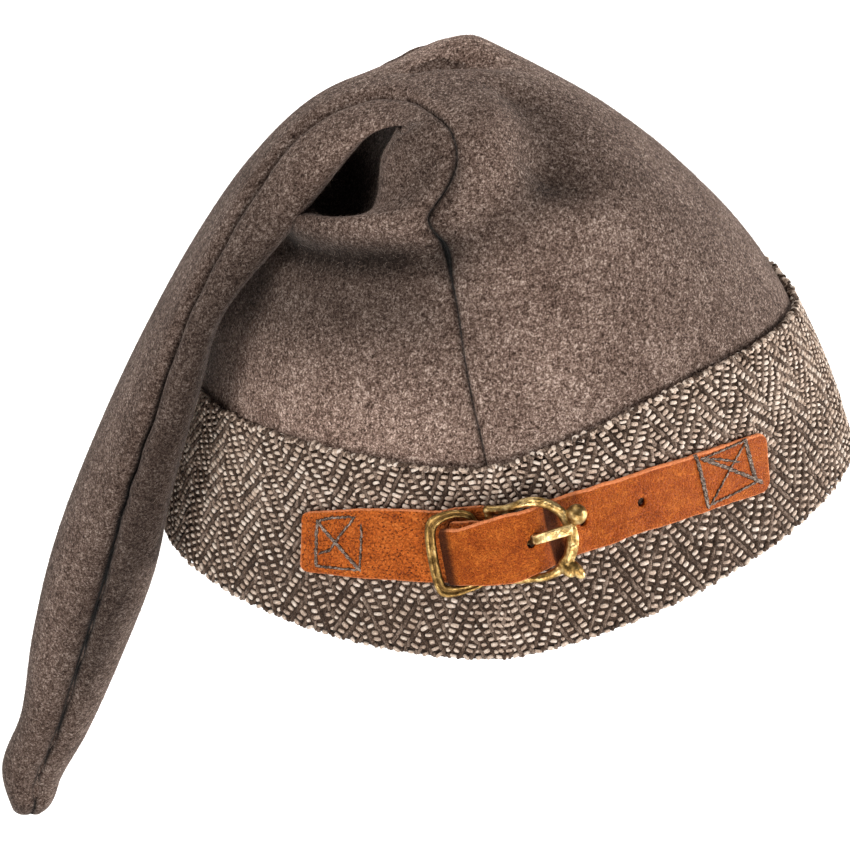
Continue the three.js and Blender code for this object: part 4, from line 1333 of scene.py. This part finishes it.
# %% Both straps
LEFT_END_WIDTH, LEFT_WIDTH, LEFT_TAPER = 17, 20, 28
LEFT_WIDTH_AT_BAR, LEFT_FLAP_WIDTH = 15, 16
LEFT_END_SLANT, LEFT_SLANT_REACH = 3.5, 14
RIGHT_TIP_WIDTH, RIGHT_WIDTH, RIGHT_TAPER = 15.4, 17, 16
RIGHT_SPREAD = 0.7
BEND_LEAD, BEND_LEAN = 3.4, 1.2
LEFT_PAINTED_SHADE = 0.35
HEIGHT_SAMPLES = 2001

left_way = Way(LEFT_WAY_ROWS)
right_way = Way(RIGHT_WAY_ROWS)
left_neck = left_way.nearest(in_buckle(-2.4, 1.1, 1.6))
left_flap = left_way.nearest(in_buckle(-4.6, 0.95, 6.25))
bend = right_way.nearest(in_buckle(11.7, 0.5, 3.8))
right_keys = np.linspace(0, right_way.length, HEIGHT_SAMPLES)
right_heights = (right_way.frame(right_keys)[0] - buckle_foot) @ OUT
print("strap lengths in mm:", round(left_way.length, 1), "and", round(right_way.length, 1))


def left_half(distance):
    """The strap widens from its sewn end, narrows in the buckle, and its flap is a little wider."""
    long = lerp(LEFT_END_WIDTH, LEFT_WIDTH, smooth(0, LEFT_TAPER, distance))
    inside = lerp(LEFT_WIDTH_AT_BAR, LEFT_FLAP_WIDTH, smooth(left_flap - 1, left_flap + 2, distance))
    return lerp(long, inside, smooth(left_neck - 2.4, left_neck, distance)) / 2


def left_slant(distance, share):
    return LEFT_END_SLANT * (0.5 + 0.5 * share) * (1 - smooth(0, LEFT_SLANT_REACH, distance))


def right_half(distance):
    """Pressed flat by the ring, the strap is a little wider just before its bend."""
    spread = RIGHT_SPREAD * smooth(8, 18, distance) * (1 - smooth(bend + 2, bend + 8, distance))
    return lerp(RIGHT_TIP_WIDTH, RIGHT_WIDTH, smooth(0, RIGHT_TAPER, distance)) / 2 + spread


def ring_hold(distance, share):
    """The ring holds the strap's edges down sooner than its middle, and the lower edge soonest."""
    before = smooth(bend - 14, bend - 5, distance)
    after = smooth(bend + 3, bend + 9, distance)
    lead = (BEND_LEAD * share**2 - BEND_LEAN * share) * (before - after)
    ahead = np.interp(distance + lead, right_keys, right_heights)
    return ahead - np.interp(distance, right_keys, right_heights)


def left_painted_shade(distance):
    """Painted shade: darker where the keeper and the other strap shade this strap."""
    return smooth(left_neck - 12.5, left_neck - 11, distance) * LEFT_PAINTED_SHADE


def right_painted_shade(distance):
    """Painted shade: dark at the tip in the keeper's shade, and again where the strap falls away under the
    ring.
    """
    tip = 1 - smooth(2, 5, distance)
    held = smooth(bend + 0.3, bend + 2, distance) * (1 - smooth(bend + 6, bend + 8, distance))
    return np.maximum(tip, held)


left = Strap(left_way, left_half, left_painted_shade, 21, skew=left_slant, corners=(2, 1.2), deep=0.45)
right_shape = {"dip": ring_hold, "corners": (1.1, 3.2), "deep": 0.2}
right = Strap(right_way, right_half, right_painted_shade, 22, light_edge=1.1, hidden_end=0.1, **right_shape)
strap_left = strip("strap_left_leather", left)
strap_right = strip("strap_right_leather", right)


# %% [markdown]
# ## Holes in the leather
# The right strap has punched holes, and the pin goes through one of them. A dark spot in the
# material would look flat from the side, so each hole is cut with a Boolean modifier, which takes
# a closed cutter out of the closed strip. The cutter is a tube, and the buckle is made of tubes
# as well.

# %% Cuts in the leather
WIRE_SIDES = 16
BAR_SQUARENESS = 0.45


def cut(piece, cutter):
    """Cuts one closed mesh out of another."""
    modifier = piece.modifiers.new("cut", "BOOLEAN")
    modifier.object = cutter
    modifier.solver = "EXACT"
    mesh = settled(piece)
    piece.modifiers.remove(modifier)
    piece.data = mesh
    bpy.data.objects.remove(cutter)


def tube(name, path, radii, sides=WIRE_SIDES, flat=None):
    """A closed tube along a path, one radius for each point, or a bar with a flat top."""
    path = np.asarray(path, float)
    forward = unit(np.gradient(path, axis=0))
    start = unit(np.cross(forward[0], [0.3, 0.2, 0.9]))
    turn = np.linspace(0, 2 * math.pi, sides, endpoint=False)[:, None]
    loops = []
    for point, ahead, radius in zip(path, forward, radii):
        start = unit(start - ahead * (start @ ahead))
        if flat is None:
            ring = np.cos(turn) * start + np.sin(turn) * np.cross(ahead, start)
        else:
            x, y = (np.sign(v) * np.abs(v) ** BAR_SQUARENESS for v in (np.cos(turn), np.sin(turn)))
            ring = x * ACROSS + flat * y * unit(np.cross(ACROSS, ahead))
        loops.append(point + radius * ring)
    points = np.concatenate(loops + [path[:1], path[-1:]])
    faces = grid_faces(len(path), sides, around=True)
    last = (len(path) - 1) * sides
    for j in range(sides):
        k = (j + 1) % sides
        faces.append((k, j, len(points) - 2))
        faces.append((last + j, last + k, len(points) - 1))
    return face_out(make_object(name, points, faces))


# %% The pin's room and the holes
TONGUE_ROWS = [(0.2, 0.7, 4.1), (5.4, 0.95, 3.75), (8.2, 1.1, 4.6), (10, 1.25, 6.7)]
TONGUE_ROWS += [(12.2, 1.75, 7.75), (16, 2.3, 8), (20.2, 2.9, 8)]
TONGUE_RADIUS = 1.35
TONGUE_WIDTH, TONGUE_THICK = 2.9, 2.1
TONGUE_ROOM = 0.3
TONGUE_POINTS, TONGUE_SIDES = 60, 24
HOLE_RADIUS, HOLE_REACH, HOLE_SIDES = 1.35, 3, 20
HOLES = 3
HOLE_PITCH = 18
used_hole = right_way.nearest(in_buckle(8.4, 0.4, 6.4))


def punch(distance):
    """One round hole through the right strap."""
    at, _, _, normal = (v[0] for v in right_way.frame(np.array([distance])))
    ends = [at - normal * HOLE_REACH, at + normal * HOLE_REACH]
    cut(strap_right, tube("punch", ends, [HOLE_RADIUS] * 2, HOLE_SIDES))


tongue_path = in_buckle(*spline(TONGUE_ROWS, np.linspace(0, 1, TONGUE_POINTS)).T)
cut(strap_right, tube("pin_room", tongue_path, [TONGUE_RADIUS + TONGUE_ROOM] * TONGUE_POINTS))
for count in range(HOLES):
    punch(used_hole + count * HOLE_PITCH)
print("holes punched:", HOLES)

# %% [markdown]
# ## Tan leather
# Tanned skin has a grain of small domes with dark pores between them, fine creases where it was
# bent, and a raw, lighter fibre where it was cut. The grain is far too fine for a mesh. Two kinds
# of cell noise make pores and domes, in the strap's own UV map so that they follow its bends. One
# function makes both finishes: the pebbled skin has large cells, and the smooth skin small ones.


# %% Leather finish
DOME_TO_PORE = 1.7
CUT_TINT = srgb(244, 150, 98)
# The colour of the painted shade on the straps.
PAINTED_SHADE_TINT = srgb(46, 18, 6)


def leather_finish(name, dark, middle, light, pore_mm, pore_depth, crease_depth, relief_mm):
    """Skin with dark pores in loose rows, fine light creases, and a raw, lighter cut edge."""
    leather = Finish(name)
    where = leather.place()
    flat = leather.uv()
    bent = leather.swayed(flat, leather.noise(where, 2.5, detail=2.0), 1.5)
    spots = leather.cells(leather.mapped(bent, scale=(0.75, 1.25, 1)), pore_mm, "F1")
    pore = 1 - spots.between(0.12, 0.34)
    wide = leather.mapped(bent, scale=(1, 1.2, 1))
    cells = leather.cells(wide, DOME_TO_PORE * pore_mm, "DISTANCE_TO_EDGE")
    crease = 1 - cells.between(0.0, 0.12)
    grain = leather.noise(where, 0.45, detail=3.0, rough=0.6)
    cloud = leather.noise(where, 6, detail=3.0, rough=0.55)
    streak = leather.noise(leather.mapped(flat, scale=(0.35, 1, 1)), 3, detail=2.0)
    tone = (cloud - 0.5) * 0.7 + (grain - 0.5) * 1.3 + (streak - 0.5) * 0.5 + 0.5
    tone = tone - pore * pore_depth + crease * crease_depth
    skin = leather.colour((0.0, dark), (0.5, middle), (1.0, light), by=tone.clamped())
    frayed = leather.noise(where, 0.9, detail=3.0)
    raw = (leather.attribute("cut") * 1.6 - frayed * 0.9).between(0.25, 0.8)
    tint = leather.mix(raw, skin, CUT_TINT)
    # Painted shade: darker, and rougher, where the buckle shades the strap.
    tint = leather.mix(leather.attribute("rubbed") * 0.9, tint, PAINTED_SHADE_TINT)
    rough = (0.56 + 0.16 * grain + 0.2 * raw + 0.3 * leather.attribute("rubbed")).clamped()
    domes = cells.between(0.0, 0.3)
    bump = grain * 0.5 - pore * 0.6 + domes * 0.6 + raw * frayed
    return leather.surface(tint, rough, bump=bump, depth_mm=relief_mm, Specular_IOR_Level=0.2)


pebbled = leather_finish(
    "pebbled leather", srgb(108, 42, 4), srgb(202, 100, 28), srgb(238, 144, 68), 0.9, 0.45, -0.24, 0.7
)
smooth_skin = leather_finish(
    "smooth leather", srgb(108, 42, 2), srgb(166, 74, 8), srgb(208, 116, 38), 0.5, 0.4, 0.28, 0.4
)
for piece, node, finish, slot in (
    (strap_left, "strap_left", pebbled, "pebbled_leather"),
    (strap_right, "strap_right", smooth_skin, "smooth_leather"),
):
    piece.data.materials.clear()
    piece.data.materials.append(finish)
    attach(piece, "root")
    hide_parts(node)

# %% [markdown]
# ## The sewn boxes
# Each strap is held to the band by a box of hand stitches with crossing lines inside. The thread
# is a soft two-ply yarn. It is laid with the same nodes as the weave: short beans in a row, each
# turned a little out of line as the plies of a yarn are, sinking where the needle went in. A wider
# row of dark beans under each thread is painted shade.

# %% The threads of each box
# Each thread: how many strands lie side by side, and its points along and across the strap.
LEFT_THREADS = [
    (2, [(7.75, 6.15), (6.5, 2.18), (6, -6.51)]),
    (1, [(7.75, 6.15), (14, 7.4), (20.75, 7.8), (21.75, 7.36)]),
    (2, [(7.75, 6.15), (14.2, 0.4), (21, -7.32)]),
    (1, [(21.75, 7.36), (16, 2.35), (12, -1.82), (7.25, -3.06)]),
    (1, [(23.75, 5.45), (22.75, 0), (21, -7.32)]),
    (1, [(6, -6.51), (15, -7), (21, -7.32)]),
]
RIGHT_THREADS = [
    (2, [(80.5, 8.3), (81.75, 4.68), (83, -7.22)]),
    (2, [(81.3, 5.5), (82.6, 0), (83.2, -7)]),
    (1, [(82.75, 6.8), (90, 7.3), (98.75, 8.08)]),
    (3, [(98.75, 8.08), (100.4, 2), (102.25, -4.67)]),
    (1, [(102.25, -4.67), (93, -6), (84.25, -6.8)]),
    (2, [(82.75, 6.8), (93, 1), (104.25, -5.1)]),
    (1, [(84.25, -6.8), (90.75, -0.42), (98.25, 7.23)]),
    (1, [(82.75, 6.8), (89, 5), (95.75, 2.55)]),
]

# %% Sewing
STITCH_LENGTH = 2.6
PLY_STEP = 0.5
PLY_LENGTH = 1.35
PLY_TURN = 0.3
PLY_WIDTH, PLY_HEIGHT = 0.38, 0.5
STRAND_GAP = 0.4
STITCH_ARCH, STITCH_SINK = 0.3, 0.06
# Painted shade under the stitches: how far below, how wide and how tall its dark beans are.
SHADE_UNDERLAY_DROP, SHADE_UNDERLAY_WIDTH, SHADE_UNDERLAY_HEIGHT = 0.16, 0.8, 0.3


def sew(name, strap, threads, seed):
    """Lays the threads of one sewn box on its strap, and under them a wider row of dark beans as painted
    shade.
    """
    draw = np.random.default_rng(seed)
    places, normals, ways = [], [], []
    for strands, line in threads:
        line = np.array(line, float)
        way = np.concatenate([[0], np.cumsum(np.linalg.norm(np.diff(line, axis=0), axis=1))])
        for strand in range(strands):
            aside = (strand - (strands - 1) / 2) * STRAND_GAP
            at = np.arange(0, way[-1], PLY_STEP)
            along = np.interp(at, way, line[:, 0]) + draw.normal(0, 0.05, len(at))
            across = np.interp(at, way, line[:, 1]) + draw.normal(0, 0.05, len(at))
            ahead = unit(np.stack([np.gradient(along), np.gradient(across)], axis=-1))
            along = along - ahead[:, 1] * aside
            across = across + ahead[:, 0] * aside
            arch = np.abs(np.sin(math.pi * (at + strand) / STITCH_LENGTH)) ** 0.6
            lift = STITCH_ARCH * arch - STITCH_SINK
            point, normal = strap.top(along, across, lift)
            forward = unit(np.gradient(point, axis=0))
            side = np.cross(normal, forward)
            places.append(point)
            normals.append(normal)
            ways.append(forward + side * PLY_TURN)
    places, normals, ways = (np.concatenate(v) for v in (places, normals, ways))
    lengths = PLY_LENGTH * draw.normal(1, 0.15, len(places))
    below = places - normals * SHADE_UNDERLAY_DROP
    laid = [normals, unit(ways), lengths]
    # The dark beans below each thread are painted shade.
    groove = name + "_groove"
    return (
        lay_threads(name, places, *laid, PLY_WIDTH, sewing_yarn, seed, height=PLY_HEIGHT),
        lay_threads(groove, below, *laid, SHADE_UNDERLAY_WIDTH, painted_stitch_shade, seed, height=SHADE_UNDERLAY_HEIGHT),
    )


# %% Both boxes
sewing_yarn = yarn_finish("sewing yarn", srgb(40, 30, 25), srgb(114, 97, 86), srgb(204, 188, 176), 0.35)
painted_stitch_shade = yarn_finish("groove shade", srgb(30, 16, 8), srgb(66, 34, 16), srgb(110, 60, 30), 0.35)
left_box = sew("stitches_left", left, LEFT_THREADS, 41)
right_box = sew("stitches_right", right, RIGHT_THREADS, 42)
for box, slot in ((left_box, "pebbled_leather"), (right_box, "smooth_leather")):
    for piece in box:
        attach(piece, "root")

# %% [markdown]
# ## The brass buckle
# The buckle is cast brass: a round ring with a ball and a double knob, a square keeper of ridged
# wire, and a pin. Tubes and balls that overlap would show hard lines where they cross. So they
# are joined, remeshed at a fine pitch and smoothed a little, which gives the soft joints of cast
# metal.

# %% Shapes to cast
PATH_POINTS = 160
RING_CENTRE = np.array([9, 0.4])
RING_RADIUS = 10.5
RING_EDGE_RADIUS, RING_EDGE_RISE = 0.8, 0.35
WIRE_RADIUS = 1.35
BAR_RADIUS = 1.15
KNOB_LEFT, KNOB_RIGHT, KNOB_FOOT = (16.4, -8.7), (18.9, -9.2), (16.4, -7.2)
KNOB_TURN = math.radians(-58)
KNOB_DEGREES = 23
BAR_TOP_B, BAR_FOOT_B = 10.6, -8.6
KEEPER_BAR_A, KEEPER_BAR_B = -5.7, 7
KEEPER_RADIUS = 1.05
KEEPER_HEIGHT = 3.75
KEEPER_LEAST, KEEPER_SIDES = 0.15, 14
# The keeper's three wires: how far out from its middle line, how high, and how thick.
KEEPER_WIRES = {"inner": (-0.8, 0, 0.62), "outer": (1.05, 0.1, 0.62), "core": (0.12, -0.4, 0.75)}
KEEPER_ROWS = [(-6.9, 9.5), (-9.7, 10.7), (-13.6, 10.6), (-16.8, 9.3), (-18.1, 6.8)]
KEEPER_ROWS += [(-18.2, -7), (-17.4, -9.4), (-15.2, -10.2), (-10, -9.9), (-7, -9)]
BALL_FINENESS = 4
CAST_VOXEL, FINE_VOXEL = 0.24, 0.17
EYE_POINTS, EYE_SIDES, EYE_WIRE, EYE_ROOM = 49, 12, 0.55, 0.82


# %% Curves, balls and the skin over them
def ring_points(from_degrees, to_degrees, count, outside=0.0):
    """Points on the ring's circle, or on a wider one."""
    angle = np.radians(np.linspace(from_degrees, to_degrees, count))[:, None]
    radius = RING_RADIUS + outside
    return RING_CENTRE + radius * np.concatenate([np.cos(angle), np.sin(angle)], axis=1)


def flat_path(rows, height=BUCKLE_HEIGHT):
    """A curve through rows of (a, b) at one height in the buckle."""
    return in_buckle(*spline(rows, np.linspace(0, 1, PATH_POINTS)).T, height)


def ball(name, a, b, h, radius, stretch=(1, 1, 1), turn=0.0):
    """A ball, or an egg that is stretched and then turned in the buckle's plane."""
    work = bmesh.new()
    bmesh.ops.create_icosphere(work, subdivisions=BALL_FINENESS, radius=1)
    x, y, z = (np.array([v.co for v in work.verts]) * radius * np.array(stretch)).T
    faces = [[v.index for v in f.verts] for f in work.faces]
    work.free()
    turned_x = x * math.cos(turn) - y * math.sin(turn)
    turned_y = x * math.sin(turn) + y * math.cos(turn)
    return make_object(name, in_buckle(a + turned_x, b + turned_y, h + z), faces)


def fuse(name, parts, voxel, rounds):
    """Joins closed meshes into one skin and smooths it."""
    work = bmesh.new()
    for part in parts:
        work.from_mesh(part.data)
        bpy.data.objects.remove(part)
    mesh = bpy.data.meshes.new(name)
    work.to_mesh(mesh)
    work.free()
    made = in_scene(name, mesh)
    remesh = made.modifiers.new("skin", "REMESH")
    remesh.mode = "VOXEL"
    remesh.voxel_size = voxel * MM
    soften = made.modifiers.new("soften", "SMOOTH")
    soften.factor = 0.5
    soften.iterations = rounds
    skin = settled(made)
    made.modifiers.clear()
    made.data = skin
    skin.polygons.foreach_set("use_smooth", [True] * len(skin.polygons))
    print(name, len(skin.polygons), "faces")
    return made


# %% Ring and knobs
def ring_parts():
    """A wire and a raised edge round the ring, a thicker stretch on its right, bars and knobs."""
    top, foot = (BAR_A, BAR_TOP_B), (BAR_A, BAR_FOOT_B)
    ring_rows = np.vstack([top, (2.6, 10.1), ring_points(100, -100, 13), (2.4, -9.6), foot])
    (knob,) = ring_points(KNOB_DEGREES, KNOB_DEGREES, 1, 3.3)
    (neck,) = ring_points(KNOB_DEGREES, KNOB_DEGREES, 1, 1.2)
    edge = flat_path(ring_points(112, -72, 14, 0.9), BUCKLE_HEIGHT + RING_EDGE_RISE)
    swell = np.sin(np.linspace(0, math.pi, PATH_POINTS)) ** 0.6
    bar_ends = in_buckle([BAR_A, BAR_A], [BAR_TOP_B, BAR_FOOT_B], BUCKLE_HEIGHT)
    return [
        tube("ring", flat_path(ring_rows), [WIRE_RADIUS * 0.9] * PATH_POINTS),
        tube("ring_edge", edge, RING_EDGE_RADIUS * np.minimum(1, 0.35 + swell)),
        tube("right_bar", flat_path(ring_points(40, -64, 8, -0.1)), WIRE_RADIUS * (0.7 + 0.6 * swell)),
        tube("middle_bar", bar_ends, [BAR_RADIUS] * 2),
        ball("ring_start", *top, BUCKLE_HEIGHT, WIRE_RADIUS * 0.98),
        ball("ring_end", *foot, BUCKLE_HEIGHT, WIRE_RADIUS * 0.98),
        ball("ball_knob", *knob, BUCKLE_HEIGHT + 0.4, 2.85),
        ball("neck", *neck, BUCKLE_HEIGHT, 1.7),
        ball("knob_left", *KNOB_LEFT, BUCKLE_HEIGHT + 0.5, 1.55, (1.9, 1, 1.15), KNOB_TURN),
        ball("knob_right", *KNOB_RIGHT, BUCKLE_HEIGHT + 0.1, 1.6, (2.1, 1.05, 1.15), KNOB_TURN),
        ball("knob_foot", *KNOB_FOOT, BUCKLE_HEIGHT, 1.9),
    ]


buckle = fuse("buckle_casting", ring_parts(), CAST_VOXEL, 3)


# %% Keeper of ridged wire
def keeper_parts():
    """Two thin wires side by side leave the groove that runs along the keeper's face."""
    rows = np.array([(KEEPER_BAR_A, KEEPER_BAR_B), *KEEPER_ROWS, (KEEPER_BAR_A, -KEEPER_BAR_B)], float)
    middle = rows.mean(axis=0)
    away = unit(rows - middle)
    ends = in_buckle([KEEPER_BAR_A] * 2, [KEEPER_BAR_B, -KEEPER_BAR_B], KEEPER_HEIGHT)
    parts = [tube("keeper_bar", ends, [KEEPER_RADIUS] * 2)]
    wide = lerp(0.6, 1, smooth(-12, -16.5, rows[:, :1]))
    radii = spline(wide, np.linspace(0, 1, PATH_POINTS))[:, 0]
    for name, (step, rise, thick) in KEEPER_WIRES.items():
        path = flat_path(rows + away * step * wide, KEEPER_HEIGHT + rise)
        parts.append(tube(name, path, KEEPER_LEAST + thick * radii, KEEPER_SIDES))
    for b in (KEEPER_BAR_B, -KEEPER_BAR_B):
        parts.append(ball("keeper_corner", KEEPER_BAR_A, b, KEEPER_HEIGHT, KEEPER_RADIUS * 1.15))
    return parts


keeper = fuse("buckle_keeper", keeper_parts(), FINE_VOXEL, 1)


# %% Buckle tongue
def tongue_parts():
    """The flat pin, and the eye that turns round the ring's middle bar."""
    turn = np.linspace(0, 2 * math.pi, EYE_POINTS)
    reach = BAR_RADIUS + EYE_ROOM
    eye = in_buckle(BAR_A + reach * np.cos(turn), 0.7, BUCKLE_HEIGHT + reach * np.sin(turn))
    radii = [TONGUE_WIDTH / 2] * TONGUE_POINTS
    return [
        tube("pin", tongue_path, radii, TONGUE_SIDES, flat=TONGUE_THICK / TONGUE_WIDTH),
        tube("eye", eye, [EYE_WIRE] * EYE_POINTS, EYE_SIDES),
    ]


tongue = fuse("buckle_pin", tongue_parts(), FINE_VOXEL, 1)


# %% [markdown]
# ## Aged brass
# Brass darkens in its hollows, where it isn't touched, and stays bright on its edges. Grime could
# be painted by hand, but it follows two rules: a noise lays it in clouds, and the Pointiness of
# the mesh keeps it off the edges. The three parts differ only in a shift of their tone: the keeper
# is darker, the pin lighter.


# %% Brass finish
def brass_finish(name, tone_shift):
    brass = Finish(name)
    where = brass.place()
    grime = brass.noise(where, 2.2, detail=4.0, rough=0.6)
    hammer = brass.noise(where, 1.6, detail=2.0)
    fine = brass.noise(where, 0.35, detail=3.0)
    worn = brass.node("ShaderNodeNewGeometry", out="Pointiness").between(0.46, 0.56)
    tone = ((grime - 0.5) * 2.0 + worn * 0.5 + 0.25 + tone_shift).clamped()
    tints = (0.0, srgb(86, 64, 34)), (0.45, srgb(146, 117, 68)), (1.0, srgb(228, 202, 146))
    tint = brass.colour(*tints, by=tone)
    rough = 0.36 - 0.14 * tone + 0.14 * fine
    return brass.surface(tint, rough, bump=hammer + 0.3 * fine, depth_mm=0.4, Metallic=1.0)


aged = brass_finish("aged brass", 0)
darker_brass = brass_finish("darker brass", -0.28)
lighter_brass = brass_finish("lighter brass", 0.24)
for piece, node, brass in (
    (buckle, "buckle_frame", aged),
    (keeper, "keeper_loop", darker_brass),
    (tongue, "buckle_tongue", lighter_brass),
):
    piece.data.materials.clear()
    piece.data.materials.append(brass)
    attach(piece, "root")
    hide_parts(node)

# %% [markdown]
# ## Floor and light
# A plain pale floor far below the cap and a pale surround give an even studio light. Soft lamps
# from the left, the right and the front share the work, because the photo shows both the tail and
# the panels lit, with shade only in the folds. One above lights the ridge, and one the far side.
# A picture of a studio wrapped round the scene would be quicker, but no image may be used here.

# %% Stage
FLOOR_DROP = 420
FLOOR_HALF = 6000
PAPER = (0.9, 0.9, 0.9, 1)
WHITE = (1, 1, 1, 1)
FLOOR_GLOW, SURROUND_GLOW = 0.7, 0.1

corners = [(x * FLOOR_HALF, y * FLOOR_HALF, -FLOOR_DROP) for x, y in ((-1, -1), (1, -1), (1, 1), (-1, 1))]
floor = make_object("floor", corners, [(0, 1, 2, 3)])
paper = Finish("pale paper")
floor_finish = paper.surface(PAPER, 0.9, Emission_Color=WHITE, Emission_Strength=FLOOR_GLOW)
floor.data.materials.append(floor_finish)
floor.visible_diffuse = False

world = bpy.data.worlds.new("studio")
world.use_nodes = True
world.node_tree.nodes["Background"].inputs["Color"].default_value = WHITE
world.node_tree.nodes["Background"].inputs["Strength"].default_value = SURROUND_GLOW
bpy.context.scene.world = world

# %% Lamps
WARM = (1, 0.95, 0.9)
# Each lamp's place and size in metres, and its power in watts.
LAMPS = {
    "left": ((-1.18, -0.68, 0.63), 0.8, 12),
    "front": ((0.25, -1.45, -0.2), 0.8, 22),
    "right": ((1.47, -0.26, 0.2), 0.8, 12),
    "above": ((-0.1, 0.3, 1.5), 0.9, 9),
    "far_side": ((-0.5, 1.5, 0.3), 0.8, 9),
    "low_right": ((1.45, 0.3, -0.15), 0.5, 16),
}

for name, (place, size, power) in LAMPS.items():
    light = bpy.data.lights.new(name, "AREA")
    light.shape = "SQUARE"
    light.size = size
    light.energy = power
    light.color = WARM
    lamp = in_scene(name, light)
    lamp.location = place
    lamp.rotation_euler = (-Vector(place)).to_track_quat("-Z", "Y").to_euler()
print("lamps:", ", ".join(LAMPS))

# %% [markdown]
# ## The end
